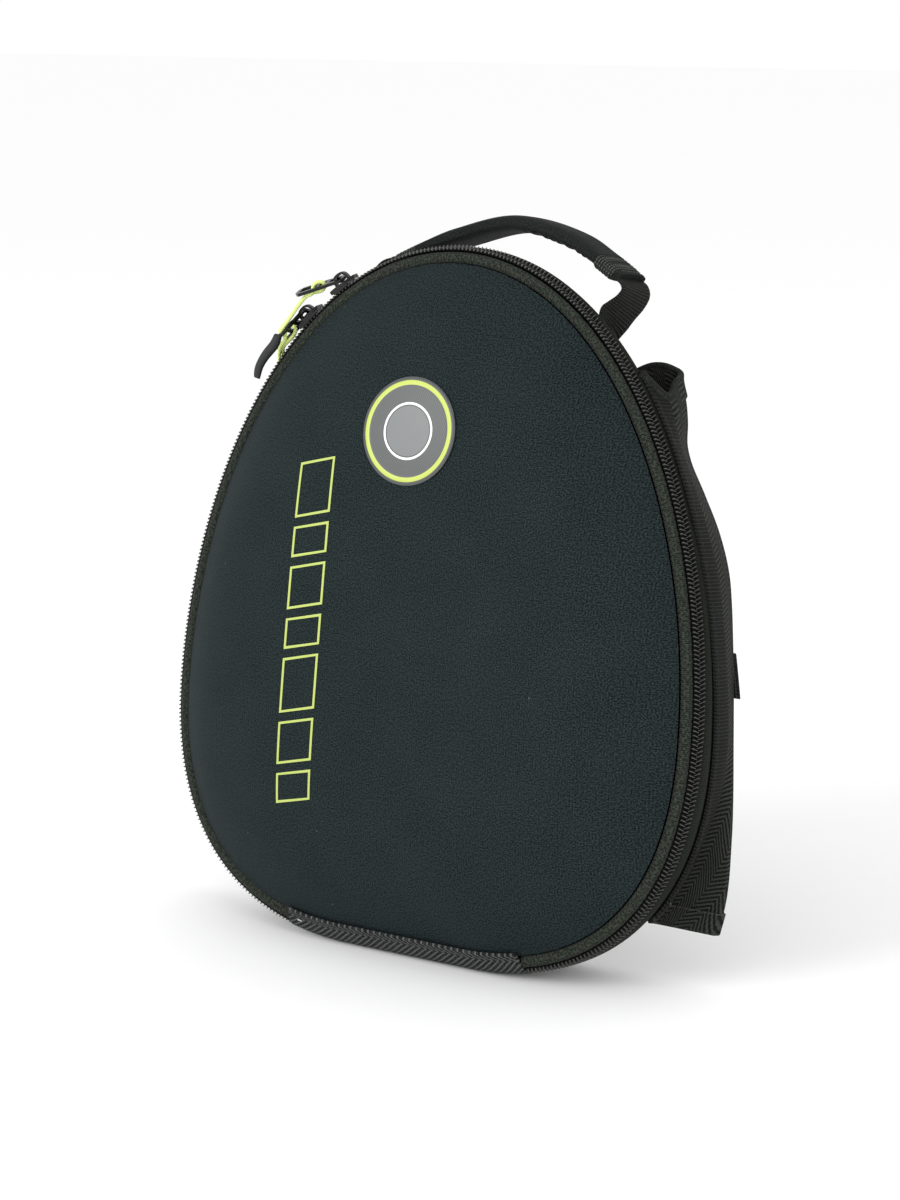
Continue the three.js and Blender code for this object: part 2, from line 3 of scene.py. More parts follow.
import bmesh
import bpy
import numpy as np
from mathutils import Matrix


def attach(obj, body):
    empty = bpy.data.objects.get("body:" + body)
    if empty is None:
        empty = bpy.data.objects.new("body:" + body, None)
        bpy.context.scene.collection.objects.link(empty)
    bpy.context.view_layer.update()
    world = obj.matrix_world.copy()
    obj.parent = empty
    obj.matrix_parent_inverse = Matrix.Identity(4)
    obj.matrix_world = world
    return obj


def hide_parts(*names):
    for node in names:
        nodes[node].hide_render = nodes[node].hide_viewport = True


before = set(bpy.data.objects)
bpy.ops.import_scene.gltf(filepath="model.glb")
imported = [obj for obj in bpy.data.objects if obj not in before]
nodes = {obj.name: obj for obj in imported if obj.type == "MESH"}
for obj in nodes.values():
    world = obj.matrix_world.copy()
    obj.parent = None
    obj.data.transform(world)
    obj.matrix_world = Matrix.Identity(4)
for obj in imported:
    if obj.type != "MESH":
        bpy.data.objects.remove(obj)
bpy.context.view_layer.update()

# Sizes, in millimetres in the bag's own frame: x to the right, y from its front to its back, z up along
# the zip. A back value is a distance behind the lid's edge, an out value a distance outside that edge.
METRE = 0.001
LEAN = math.radians(8.5)
STANDING_SHIFT = (0.0, -17.93, 178.11)

# Camera, lamps with their places and powers, and floor, in metres and degrees
CAMERA_PLACE = (0.7897, -1.2081, 0.4765)
CAMERA_LENS, CAMERA_SENSOR = 90.17, 36
CAMERA_DROP, CAMERA_TURN = 11.88, 33.17
LAMPS = {"key": ((-0.9, -1.9, 1.0), 26), "side": ((1.7, -1.1, 0.55), 9)}
LAMP_TARGET, LAMP_SIZE, FLOOR_REACH = (0, 0, 0.17), 1.2, 12.0

# Lid edge, an egg with a narrow top and a nearly flat bottom
EGG_TOP, EGG_BOTTOM = 161.0, -169.0
EGG_HALF_WIDTH, EGG_WIDEST = 142.0, -58.0
EGG_TOP_PULL, EGG_UPPER_PULL, EGG_LOWER_PULL = 82.0, 116.0, 80.0
EGG_BASE_PULL, EGG_BASE_FLAT = 58.0, 36.0
EGG_CENTRE = -15.0
STATIONS = 240

# Lid: its dome, its rings as shares of the edge, and its rolled edge in rows of out and back
LID_RISE, LID_POWER, LID_WALL = 31.0, 5, 5.0
LID_RINGS, LID_CROWDING, LID_SMALLEST = 52, 1.6, 0.015
LID_INNER_SHARES = (0.03, 0.3, 0.55, 0.72, 0.85, 0.94, 1)
LID_ROLL = ((-1.8, 1.1), (-0.8, 0.95), (-0.2, 0.5))

# Rear shell: how far outside the lid's edge its wall lies at the sides and at the top, by depth
WALL_BACK = (10.5, 20.0, 30.0, 40.0, 43.6, 45.0)
WALL_SIDE = (7.0, 5.8, 3.6, -0.4, -4.4, -10.0)
WALL_TOP = (7.0, 2.0, -5.0, -12.6, -18.0, -25.0)
WALL_ROUNDING = (44.3, 44.8)
REAR_WALL = 2.2
PANEL_SHARES = (0.85, 0.6, 0.35, 0.03)

# Zip: two tapes and the closed coil between them, on a narrow bed
ZIP_FACING = math.radians(75)
ZIP_OUT, ZIP_BACK = 7.8, 6.35
ZIP_ROWS, TAPE_THICKNESS = 420, 1.0
FRONT_TAPE_OUT, FRONT_TAPE_BACK = 1.1, 1.9
FRONT_TAPE_WIDTH, FRONT_TAPE_SLOPE, FRONT_TAPE_NARROWER = 4.0, 0.9, 0.5
FRONT_TAPE_BULGE, BULGE_OUT, BULGE_FORWARD = 1.1, 0.29, 0.957
REAR_TAPE_FROM, REAR_TAPE_TO, REAR_TAPE_LAP = 10.4, 18.5, 1.5
REAR_TAPE_CLEAR, REAR_TAPE_CROWN, REAR_TAPE_SKEW = 0.5, 1.3, 0.65
TOOTH_PITCH = 2.03
COIL_ROW, COIL_FORWARD, COIL_LIFT = 1.5, 0.95, 0.35
BED_ROWS, BED_FRONT, BED_REAR, BED_THICKNESS, BED_LIFT = 360, -3.9, 2.7, 0.7, 0.1

# Small bars, for the coil's turns and for stitches: places along them, from -1 to 1, and girths there
TURN_ALONG = (-1, -0.88, -0.62, -0.2, 0.4, 0.85, 1)
TURN_GIRTH = (0.5, 1.05, 1.2, 0.85, 0.8, 0.65, 0.3)
TURN_LENGTH, TURN_WIDTH, TURN_HEIGHT, TURN_SLANT = 3.6, 0.72, 1.5, 0.6
STITCH_ALONG = (-1, -0.86, -0.45, 0.45, 0.86, 1)
STITCH_GIRTH = (0.35, 0.8, 1, 1, 0.8, 0.35)

# Stitches, as pitch, length and thickness, and how far they stand off the cloth
TAPE_STITCH, SIDE_STITCH, HEM_STITCH = (2.2, 1.8, 0.5), (2.8, 1.9, 0.5), (3.2, 2.4, 0.55)
HINGE_STITCH, TACK_STITCH, FLAP_STITCH = (2.1, 1.5, 0.5), (4.4, 3.0, 0.8), (2.4, 1.8, 0.5)
STITCH_LIFT = 0.05

# Roundness of a band's long edges and ends, as shares of its thickness
EDGE_ROUND, TIP_ROUND = 0.45, 0.4

# Hinge webbing: rows of out and back round the bottom edge, then depths along the rear shell
HINGE_HALF, HINGE_THICKNESS, HINGE_CLEAR = 67.0, 2.0, 0.5
HINGE_NOSE = ((-1.6, -2.4), (0.7, -0.5), (4.2, 1.4), (6.7, 4.6), (7.6, 8.4))
HINGE_UNDER = (11.5, 20, 28, 36, 44.8)

# Sleeve of webbing: the seam on the bag's side and the outer fold, by height
SLEEVE_LENGTH, SLEEVE_THICKNESS, SLEEVE_CLEAR, SLEEVE_BACK = 257.0, 1.4, 2.3, 45.7
SEAM_HEIGHT = (-146.0, -60.0, 10.0, 60.0, 115.0)
SEAM_BACK = (24.0, 21.5, 15.5, 12.5, 13.0)
FOLD_HEIGHT = (-146, -132, -100, -53, -6, 12, 23, 43, 61, 76.5, 82, 95, 104, 112, 122)
FOLD_X = (150.2, 153, 153.6, 150, 145, 142.5, 140.4, 133, 123, 114, 112, 110.7, 108.9, 106, 104)
FOLD_INSET, FOLD_FORWARD = 2.4, 4.2
ROLL_CLEAR, ROLL_FORWARD = 2.1, 0.9
SIDE_BOW, TUCK_FROM, TUCK_TO = 1.2, -45.0, -105.0

# Sleeve columns from the seam to the back's middle, each with the heights of its mouth and of its hem.
# A side column adds its share of the way to the fold, a back column how far it lies inside and forward of it.
ROLL_COLUMN, SEAM_COLUMN = (115.3, -139), (115, -139.5)
SIDE_COLUMNS = ((107.4, -141, 0.22), (105, -142, 0.4), (107.2, -143, 0.58), (111.8, -144, 0.78))
FOLD_COLUMN = (115.2, -145.3)
BACK_COLUMNS = ((117, -145.6, 2.9, 1.4), (118.6, -146, 5.2, 0), (120.4, -146, 10, 0), (120.4, -146, 18, 0))
MIDDLE_COLUMN, MIDDLE_SHARE = (104, -146), 0.45

# Sleeve finish: side strips, twill stripes, hem, cuff, crease and rolled rim
SIDE_STRIP, TWILL_STRIPE = 16.5, 7.5
SLEEVE_MIDDLE = SIDE_STRIP + 19 * TWILL_STRIPE
STRAIGHT_FROM, STRAIGHT_TO = 35.0, 110.0
HEM, CUFF, HEM_EXTRA, STRIP_EXTRA, STRIP_EDGE = 10.0, 11.0, 1.1, 0.5, 0.6
CREASE_DEPTH, CREASE_WIDTH = 0.55, 0.8
RIM_OUT, RIM_DROP, RIM_DEPTH, RIM_HEIGHT = 1.15, 0.7, 1.6, 1.7
RIM_FATTER, RIM_MEAN_RADIUS = 0.5, 1.9
SIDE_SEAM_INSET = 2.6

# Ends of the strap behind the sleeve
TAIL_TOP, TAIL_BOTTOM, TAIL_INNER, TAIL_THICKNESS, TAIL_CLEAR = -13.0, -33.0, 112.0, 1.6, 0.5
TAIL_PAST_TOP, TAIL_PAST_BOTTOM = -2.0, -0.1

# Handle: a padded band. From and to values are distances from its nearer end.
HANDLE_BACK, HANDLE_WIDTH, HANDLE_THICK, HANDLE_ROUNDING = 40.0, 26.0, 8.0, 2 / 3.4
HANDLE_ARCH = (
    (-57.5, 160.4), (-37, 169.8), (-20, 176), (12, 183.4), (43.5, 176.8), (57.5, 169.9), (74.5, 159.7),
)
HANDLE_SWELL, SWELL_FROM, SWELL_TO = 0.7, 18.0, 40.0
FLAP_RISE, FLAP_DROP, FLAP_NARROWER, FLAP_LIP, FLAP_LIP_AT = 2.8, 0.5, 0.7, 0.5, 1.2
PADDING_FROM, PADDING_TO = 3.4, 5.2
WRAP_FROM, WRAP_TO, WRAP_BULGE, WRAP_NARROWER = 15.6, 16.6, 1.4, 0.6
WRAP_RIB, WRAP_RIB_PITCH = 0.28, 2.1
PUCKER_DEPTH, PUCKER_PITCH, PUCKER_FROM, PUCKER_TO = 0.5, 5.3, 18.0, 24.0
PUCKER_SHARES, PUCKER_WANDER, WANDER_LENGTH, PUCKER_FRONT = (0.5, 0.62), 1.7, 3.1, (-0.3, 0.7)
FLAP_SEAM_PLACE, FLAP_SEAM_HALF, FLAP_SEAM_LIFT = 2.6, 9.5, 2.9

# Legs of the handle. A row gives x and the heights of the two edges.
LEG_WIDTH, LEG_THICKNESS, LEG_CLEAR, LEG_FOOT_BACK = 24.6, 1.8, 2.7, 31.1
LEG_ROWS, LEG_LEVEL_SHARE, LEG_FOOT_SLANT = 14, 0.12, 8.0
RIGHT_FOOT, LEFT_FOOT = 72.0, -66.0
RIGHT_LEG = (
    (70.8, 161.3, 161.3), (75.5, 159.4, 158.9), (78, 157.8, 157), (80, 154.6, 152.6),
    (78.4, 150.6, 146.6), (74.8, 147.2, 140.8), (71.2, 144, 134),
)
LEFT_LEG = (
    (-53.7, 161.7, 161.7), (-58.4, 160.2, 159.7), (-60.2, 158.8, 157.6), (-62.2, 155.4, 152.2),
    (-63.8, 151.4, 145.8), (-65, 148, 138.6),
)

# Pulls: where each slider sits, how its tab is turned, and where its cord hangs into the grip
TAB_HEIGHT = 5.65
CORD_DIAMETER, CORD_POINTS = 2.0, 72
METAL_ROUNDING, RUBBER_WELD = 0.3, 0.01
PULLS = {
    "upper": {
        "height": 145.5, "swing": 18, "twist": 13,
        "hang": ((-95.7, -2.8, 126.8), (-99.2, -3.7, 121.5)), "apart": (-0.5, 1.1, 0.3),
    },
    "lower": {
        "height": 128.5, "swing": 0, "twist": -20,
        "hang": ((-108.8, 13, 108), (-113.9, 19.5, 100.7)), "apart": (0.6, 1.2, 0.5),
    },
}
CORD_IN_TAB = (
    (-22, 1.15, -2.7), (-13, 1.15, -2.6), (-10.5, 1.15, -0.4), (-11.2, 0.8, 1.5), (-13.3, 0, 2.3),
    (-15.6, -0.8, 1.5), (-16.4, -1.15, -0.4), (-18.6, -1.15, -2.3), (-22, -1.15, -2.7),
)

# Badge and printed bars on the lid
BADGE_HEIGHT, BADGE_RADIUS, BADGE_SMALLEST = 79.5, 26.0, 0.6
BADGE_UNDER, BADGE_RIM_LIFT, BADGE_FACE, BADGE_RAISED = 0.5, 0.85, 1.2, 0.18
BADGE_UNDER_INSET, BADGE_FACE_INSET = 0.3, 0.4
LIME_RING, LIME_HALF, RAISED_HALF = 23.2, 1.1, 1.2
WHITE_RING, WHITE_HALF, BADGE_MIDDLE = 13.2, 0.55, 12.0
BAR_LENGTHS = (27, 15, 21, 15, 27, 21, 15)
BARS_TOP, BARS_X, BAR_HALF, BAR_SLANT, BAR_LINE, BAR_GAP = 64.0, -52.0, 10.5, 5.0, 1.2, 4.5
BAR_UNDER, BAR_FACE = -0.1, 0.16


# Camera, light and floor
def add_object(name, data):
    thing = bpy.data.objects.new(name, data)
    bpy.context.scene.collection.objects.link(thing)
    return thing


def make_camera():
    data = bpy.data.cameras.new("camera")
    data.lens = CAMERA_LENS
    data.sensor_width = CAMERA_SENSOR
    camera = add_object("camera", data)
    camera.location = CAMERA_PLACE
    camera.rotation_euler = (math.radians(90 - CAMERA_DROP), 0, math.radians(CAMERA_TURN))
    bpy.context.scene.camera = camera


def make_light(name, place, power):
    """Large soft lamp that looks at the bag's middle."""
    data = bpy.data.lights.new(name, "AREA")
    data.shape = "DISK"
    data.size = LAMP_SIZE
    data.energy = power
    light = add_object(name, data)
    light.location = place
    aim = np.subtract(LAMP_TARGET, place)
    light.rotation_euler = (
        math.pi / 2 + math.asin(aim[2] / np.linalg.norm(aim)), 0, math.atan2(-aim[0], aim[1]))


def make_stage():
    world = bpy.data.worlds.new("studio")
    world.use_nodes = True
    background = world.node_tree.nodes["Background"]
    background.inputs["Color"].default_value = (1, 1, 1, 1)
    background.inputs["Strength"].default_value = 1.0
    bpy.context.scene.world = world
    bpy.context.scene.view_settings.view_transform = "Standard"
    for name, (place, power) in LAMPS.items():
        make_light(name, place, power)
    mesh = bpy.data.meshes.new("floor")
    corners = [(x * FLOOR_REACH, y * FLOOR_REACH, 0) for x, y in ((-1, -1), (1, -1), (1, 1), (-1, 1))]
    mesh.from_pydata(corners, [], [(0, 1, 2, 3)])
    look = Look("floor", 0.0)
    grain = look.noise(look.place(), 40)
    look.colour(grain, (0.965, 0.965, 0.965), (0.98, 0.98, 0.98))
    look.rough(grain, 0.9, 0.9)
    mesh.materials.append(look.material)
    add_object("floor", mesh)


# Geometry helpers
def unit(vectors):
    return vectors / np.maximum(np.linalg.norm(vectors, axis=-1, keepdims=True), 1e-9)


def smooth_step(value, low, high):
    part = np.clip((value - low) / (high - low), 0, 1)
    return part * part * (3 - 2 * part)


def points_of(*columns):
    return np.stack(np.broadcast_arrays(*columns), axis=-1).astype(float)


def run_along(points):
    """Distance of each point of a line from its first one."""
    return np.concatenate([[0], np.cumsum(np.linalg.norm(np.diff(points, axis=0), axis=-1))])


def full_turn(count):
    return np.linspace(0, 2 * math.pi, count, endpoint=False)


def hermite(part, start, leave, end, arrive):
    """Cubic from a start to an end with the given slopes, read at a part of the way from 0 to 1."""
    return (
        start * (2 * part**3 - 3 * part**2 + 1) + leave * (part**3 - 2 * part**2 + part)
        + end * (3 * part**2 - 2 * part**3) + arrive * (part**3 - part**2))


def smooth_table(value, keys, column):
    """Smooth reading of one column of a table against rising keys, level beyond the ends."""
    keys, column = np.array(keys, float), np.array(column, float)
    slope = np.gradient(column, keys)
    value = np.clip(value, keys[0], keys[-1])
    row = np.clip(np.searchsorted(keys, value) - 1, 0, len(keys) - 2)
    span = keys[row + 1] - keys[row]
    part = (value - keys[row]) / span
    return hermite(part, column[row], slope[row] * span, column[row + 1], slope[row + 1] * span)


def placed(points):
    """Points of the bag's frame, stood on the floor, in metres."""
    x, y, z = np.moveaxis(np.asarray(points, float), -1, 0)
    back = y * math.cos(LEAN) + z * math.sin(LEAN)
    up = z * math.cos(LEAN) - y * math.sin(LEAN)
    return (points_of(x, back, up) + STANDING_SHIFT) * METRE


def bezier(start, first, second, end, count):
    part = np.linspace(0, 1, count)[:, None]
    start, first, second, end = (np.array(p, float) for p in (start, first, second, end))
    rest = 1 - part
    return rest**3 * start + 3 * rest**2 * part * first + 3 * rest * part**2 * second + part**3 * end


def half_edge():
    """Right half of the lid's edge, from the top centre round to the bottom centre."""
    side = (EGG_HALF_WIDTH, EGG_WIDEST)
    base = (EGG_BASE_FLAT, EGG_BOTTOM)
    upper = bezier(
        (0, EGG_TOP), (EGG_TOP_PULL, EGG_TOP), (EGG_HALF_WIDTH, EGG_WIDEST + EGG_UPPER_PULL), side, 1200)
    lower = bezier(
        side, (EGG_HALF_WIDTH, EGG_WIDEST - EGG_LOWER_PULL),
        (EGG_BASE_FLAT + EGG_BASE_PULL, EGG_BOTTOM), base, 800)
    flat = bezier(base, base, (0, EGG_BOTTOM), (0, EGG_BOTTOM), 200)
    return np.concatenate([upper, lower[1:], flat[1:]])


EDGE = half_edge()
EDGE_RUN = run_along(EDGE)
EDGE_LENGTH = EDGE_RUN[-1]
EDGE_SLOPE = unit(np.gradient(EDGE, EDGE_RUN, axis=0))
EDGE_ANGLE = np.arctan2(EDGE[:, 0], EDGE[:, 1] - EGG_CENTRE)
EDGE_RADIUS = np.hypot(EDGE[:, 0], EDGE[:, 1] - EGG_CENTRE)
ZIP_REACH = 1 - (HINGE_HALF + 1) / EDGE_LENGTH


def edge_at(reach):
    """Place and outward direction on the lid's edge, as x, z, out x and out z. Reach runs from -1 at the
    bottom centre, round the left side to 0 at the top, and round the right side to 1."""
    reach = np.asarray(reach, float)
    side = np.where(reach < 0, -1.0, 1.0)
    run = np.minimum(np.abs(reach), 1) * EDGE_LENGTH
    x, z, slope_x, slope_z = (
        np.interp(run, EDGE_RUN, column)
        for column in (EDGE[:, 0], EDGE[:, 1], EDGE_SLOPE[:, 0], EDGE_SLOPE[:, 1]))
    return side * x, z, side * -slope_z, slope_x


def beside_edge(reach, out, back):
    x, z, out_x, out_z = edge_at(reach)
    return points_of(x + out_x * out, back, z + out_z * out)


def wall_out(reach, back):
    """How far outside the lid's edge the rear shell's wall lies."""
    out_z = edge_at(reach)[3]
    side = np.interp(back, WALL_BACK, WALL_SIDE)
    bottom = WALL_SIDE[0] - math.tan(LEAN) * (back - WALL_BACK[0])
    upright = np.where(out_z > 0, np.interp(back, WALL_BACK, WALL_TOP), bottom)
    return side + (upright - side) * out_z**2


def wall_point(reach, back, grown):
    return beside_edge(reach, wall_out(reach, back) + grown, back)


def reach_where(is_before, shape, limit):
    """Reach between 0 and a limit at which a test turns from true to false, found by halving."""
    low = np.zeros(shape)
    high = np.full(shape, float(limit))
    for _ in range(40):
        middle = (low + high) / 2
        before = is_before(middle)
        low = np.where(before, middle, low)
        high = np.where(before, high, middle)
    return low


def wall_at_height(height, back, grown):
    reach = reach_where(lambda part: wall_point(part, back, grown)[..., 2] > height, np.shape(height), 0.93)
    return wall_point(reach, back, grown)


def wall_at_x(x, back, grown):
    reach = reach_where(lambda part: wall_point(part, back, grown)[..., 0] < x, np.shape(back), 0.4)
    return wall_point(reach, back, grown)


def lid_scale(x, z):
    angle = np.arctan2(np.abs(x), z - EGG_CENTRE)
    return np.hypot(x, z - EGG_CENTRE) / np.interp(angle, EDGE_ANGLE, EDGE_RADIUS)


def on_lid(x, z, lift):
    """Point in front of the lid's face."""
    forward = LID_RISE * (1 - lid_scale(x, z) ** LID_POWER)
    return points_of(x, -forward - lift, z)


def through(points, count):
    """Evenly spread points on a smooth curve through the given ones. Each point may be a row of points."""
    points = np.asarray(points, float)
    ends = np.concatenate([[2 * points[0] - points[1]], points, [2 * points[-1] - points[-2]]])
    gaps = np.linalg.norm(np.diff(ends, axis=0), axis=-1).reshape(len(ends) - 1, -1).mean(axis=1)
    steps = np.sqrt(gaps)
    part = np.linspace(0, 1, 25)[1:].reshape(-1, *[1] * (points.ndim - 1))
    fine = [points[:1]]
    for i in range(1, len(ends) - 2):
        before, here, after, beyond = ends[i - 1:i + 3]
        first, second, third = steps[i - 1:i + 2]
        leave = (here - before) / first - (after - before) / (first + second) + (after - here) / second
        arrive = (after - here) / second - (beyond - here) / (second + third) + (beyond - after) / third
        fine.append(hermite(part, here, leave * second, after, arrive * second))
    return resampled(np.concatenate(fine), count)


def resampled(points, count):
    """The same line with evenly spread points."""
    gaps = np.linalg.norm(np.diff(points, axis=0), axis=-1).reshape(len(points) - 1, -1).mean(axis=1)
    run = np.concatenate([[0], np.cumsum(gaps)])
    wanted = np.linspace(0, run[-1], count)
    columns = points.reshape(len(points), -1).T
    return np.stack([np.interp(wanted, run, column) for column in columns], axis=-1).reshape(
        count, *points.shape[1:])


def ring_faces(rows, count, joined=False):
    """Faces between rings of equal count. Joined rings go on from the last to the first."""
    row, column = np.meshgrid(np.arange(rows if joined else rows - 1), np.arange(count), indexing="ij")
    here, beyond, after = row * count, (row + 1) % rows * count, (column + 1) % count
    return np.stack([here + column, here + after, beyond + after, beyond + column], axis=-1).reshape(-1, 4)


def loft_faces(rows, count):
    """Faces of a closed solid through rings of equal count. Each end is closed by strips across its ring."""
    faces = ring_faces(rows, count).tolist()
    last = (rows - 1) * count
    for i in range(count // 2):
        strip = list(dict.fromkeys([i, i + 1, count - i - 1, (count - i) % count]))
        faces.append(strip[::-1])
        faces.append([last + corner for corner in strip])
    return faces


def make_piece(name, vertices, faces, look, cloth=None, sharp=50):
    """Mesh object from points of the bag's frame. Cloth holds each vertex's place in the weave, in mm."""
    mesh = bpy.data.meshes.new(name)
    mesh.from_pydata(placed(vertices).tolist(), [], faces)
    if cloth is not None:
        corners = np.zeros(len(mesh.loops), int)
        mesh.loops.foreach_get("vertex_index", corners)
        layer = mesh.uv_layers.new(name="cloth")
        layer.uv.foreach_set("vector", np.asarray(cloth, np.float32)[corners].ravel())
    shape = bmesh.new()
    shape.from_mesh(mesh)
    bmesh.ops.recalc_face_normals(shape, faces=shape.faces)
    shape.to_mesh(mesh)
    shape.free()
    mesh.shade_smooth()
    mesh.set_sharp_from_angle(angle=math.radians(sharp))
    mesh.materials.append(look)
    piece = add_object(name, mesh)
    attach(piece, "root")
    return piece


def lofted(name, rings, look, cloth):
    faces = loft_faces(*rings.shape[:2])
    return make_piece(name, rings.reshape(-1, 3), faces, look, cloth.reshape(-1, 2))


def copies(name, shapes, faces, origins, axes, look):
    """One mesh of many small closed shapes, each set in its own axes. Shapes is one shape for all of them,
    or a row of shapes that have the same faces."""
    vertices = origins[:, None] + shapes @ axes
    count = vertices.shape[1]
    all_faces = [[corner + n * count for corner in face] for n in range(len(origins)) for face in faces]
    return make_piece(name, vertices.reshape(-1, 3), all_faces, look)


def small_bar(along, girth, length, width, height, slant=0.0):
    """Vertices and faces of a small round bar along the second axis, from its rings' places and girths."""
    along, girth = np.array(along)[:, None], np.array(girth)[:, None]
    turn = full_turn(6)
    rings = points_of(
        np.cos(turn) * width / 2 * girth + slant * along, along * length / 2,
        np.sin(turn) * height / 2 * girth)
    return rings.reshape(-1, 3), loft_faces(len(along), len(turn))


def facing(grid, side=1):
    """Unit normals of a grid of points."""
    return side * unit(np.cross(np.gradient(grid, axis=0), np.gradient(grid, axis=1)))


def band(name, grid, thickness, look, side=1, cloth=None):
    """Cloth band with round edges. The grid is its underside, with rows along the band and columns across
    it. Side tells on which side of the grid the band grows, cloth where each point lies in the weave."""
    along = np.gradient(grid, axis=0)
    across = np.gradient(grid, axis=1)
    normal = facing(grid, side)
    thick = np.broadcast_to(thickness, grid.shape[:2])[..., None]
    top = grid + normal * thick
    middle = (grid + top) / 2
    left = middle[:, :1] - unit(across[:, :1]) * thick[:, :1] * EDGE_ROUND
    right = middle[:, -1:] + unit(across[:, -1:]) * thick[:, -1:] * EDGE_ROUND
    rings = np.concatenate([left, grid, right, top[:, ::-1]], axis=1)
    if cloth is None:
        run = np.cumsum(np.linalg.norm(along, axis=-1).mean(axis=1))
        width = np.cumsum(np.linalg.norm(across, axis=-1).mean(axis=0))
        cloth = points_of(run[:, None], width)
    weave = np.concatenate([cloth[:, :1], cloth, cloth[:, -1:], cloth[:, ::-1]], axis=1)
    partner = -np.arange(rings.shape[1]) % rings.shape[1]
    for end, way in ((0, -1), (-1, 1)):
        plane = (rings[end] + rings[end][partner]) / 2
        tip = plane + (rings[end] - plane) * TIP_ROUND
        step = unit(along[end].mean(axis=0)) * way * thick[end].mean() * TIP_ROUND
        place = 0 if end == 0 else len(rings)
        rings = np.insert(rings, place, tip + step, axis=0)
        weave = np.insert(weave, place, weave[end], axis=0)
    return lofted(name, rings, look, weave)


def sewn(name, path, normals, look, stitch):
    """Row of stitches on a surface, along a line of points with the surface's normals."""
    pitch, length, thick = stitch
    count = int(run_along(path)[-1] / pitch)
    line = resampled(np.concatenate([path, np.broadcast_to(normals, path.shape)], axis=1), 2 * count + 1)
    centres = line[1::2]
    along = unit(line[2::2, :3] - line[:-2:2, :3])
    up = unit(centres[:, 3:])
    side = unit(np.cross(along, up))
    shape, faces = small_bar(STITCH_ALONG, STITCH_GIRTH, length, thick, thick)
    return copies(name, shape, faces, centres[:, :3], np.stack([side, along, up], axis=1), look)


# Materials
class Look:
    """A material, with short calls that add nodes to it."""

    def __init__(self, name, specular, sheen=0.0):
        self.material = bpy.data.materials.new(name)
        self.material.use_nodes = True
        self.tree = self.material.node_tree
        self.shader = self.tree.nodes["Principled BSDF"]
        self.shader.inputs["Specular IOR Level"].default_value = specular
        self.shader.inputs["Sheen Weight"].default_value = sheen
        self.shader.inputs["Sheen Roughness"].default_value = 0.4

    def add(self, kind, values, output=0, **settings):
        node = self.tree.nodes.new("ShaderNode" + kind)
        for key, value in settings.items():
            setattr(node, key, value)
        for socket, value in values.items():
            if isinstance(value, bpy.types.NodeSocket):
                self.tree.links.new(value, node.inputs[socket])
            else:
                node.inputs[socket].default_value = value
        return node.outputs[output]

    def math(self, operation, first, second=0.0, third=0.0):
        return self.add("Math", {0: first, 1: second, 2: third}, operation=operation)

    def weighted(self, first, share, second, other_share):
        """Sum of two values, each times its share."""
        return self.math("MULTIPLY_ADD", first, share, self.math("MULTIPLY", second, other_share))

    def cloth(self):
        return self.add("UVMap", {}, uv_map="cloth")

    def place(self):
        return self.add("TexCoord", {}, output="Object")

    def split(self, vector):
        return [self.add("SeparateXYZ", {0: vector}, output=axis) for axis in (0, 1)]

    def noise(self, vector, scale, detail=2.0):
        values = {"Vector": vector, "Scale": scale, "Detail": detail}
        return self.add("TexNoise", values, output="Fac")

    def ribs(self, value, pitch):
        """Even ridges across a value, from 0 in the valleys to 1 on the ridges."""
        wave = self.math("SINE", self.math("MULTIPLY", value, 2 * math.pi / pitch))
        return self.math("MULTIPLY_ADD", wave, 0.5, 0.5)

    def above(self, value, low, high):
        """0 below a range of values, 1 above it."""
        values = {"Value": value, "From Min": low, "From Max": high}
        return self.add("MapRange", values, interpolation_type="SMOOTHSTEP")

    def blend(self, share, first, second):
        return self.add("Mix", {0: share, 2: first, 3: second}, data_type="FLOAT")

    def tint(self, share, first, second):
        values = {0: share}
        for socket, value in ((6, first), (7, second)):
            values[socket] = value if isinstance(value, bpy.types.NodeSocket) else (*value, 1)
        return self.add("Mix", values, output=2, data_type="RGBA")

    def colour(self, share, first, second):
        mixed = self.tint(share, first, second)
        self.tree.links.new(mixed, self.shader.inputs["Base Color"])
        return mixed

    def rough(self, share, low, high):
        values = {"Value": share, "To Min": low, "To Max": high}
        self.tree.links.new(self.add("MapRange", values), self.shader.inputs["Roughness"])

    def bump(self, height, distance):
        values = {"Strength": 1.0, "Distance": distance * METRE, "Height": height}
        self.tree.links.new(self.add("Bump", values), self.shader.inputs["Normal"])


def knit_look(name, dark, light):
    """Fine jersey knit with a soft nap, uneven dye and a little lint."""
    look = Look(name, 0.06, sheen=0.01)
    cloth = look.cloth()
    across, up = look.split(cloth)
    loops = look.math("MULTIPLY", look.ribs(across, 1.3), look.ribs(up, 1.05))
    fuzz = look.above(look.noise(cloth, 1.35, 2), 0.4, 0.6)
    patches = look.noise(cloth, 0.03, 2)
    grain = look.weighted(loops, 0.25, fuzz, 0.75)
    shade = look.weighted(patches, 0.2, grain, 0.9)
    cells = look.add("TexVoronoi", {"Vector": cloth, "Scale": 0.055}, output="Distance")
    lint = look.math("LESS_THAN", cells, 0.016)
    base = look.tint(shade, dark, light)
    look.colour(look.math("MULTIPLY", lint, 0.3), base, (0.4, 0.42, 0.4))
    look.rough(fuzz, 0.62, 0.9)
    look.bump(grain, 0.2)
    return look.material


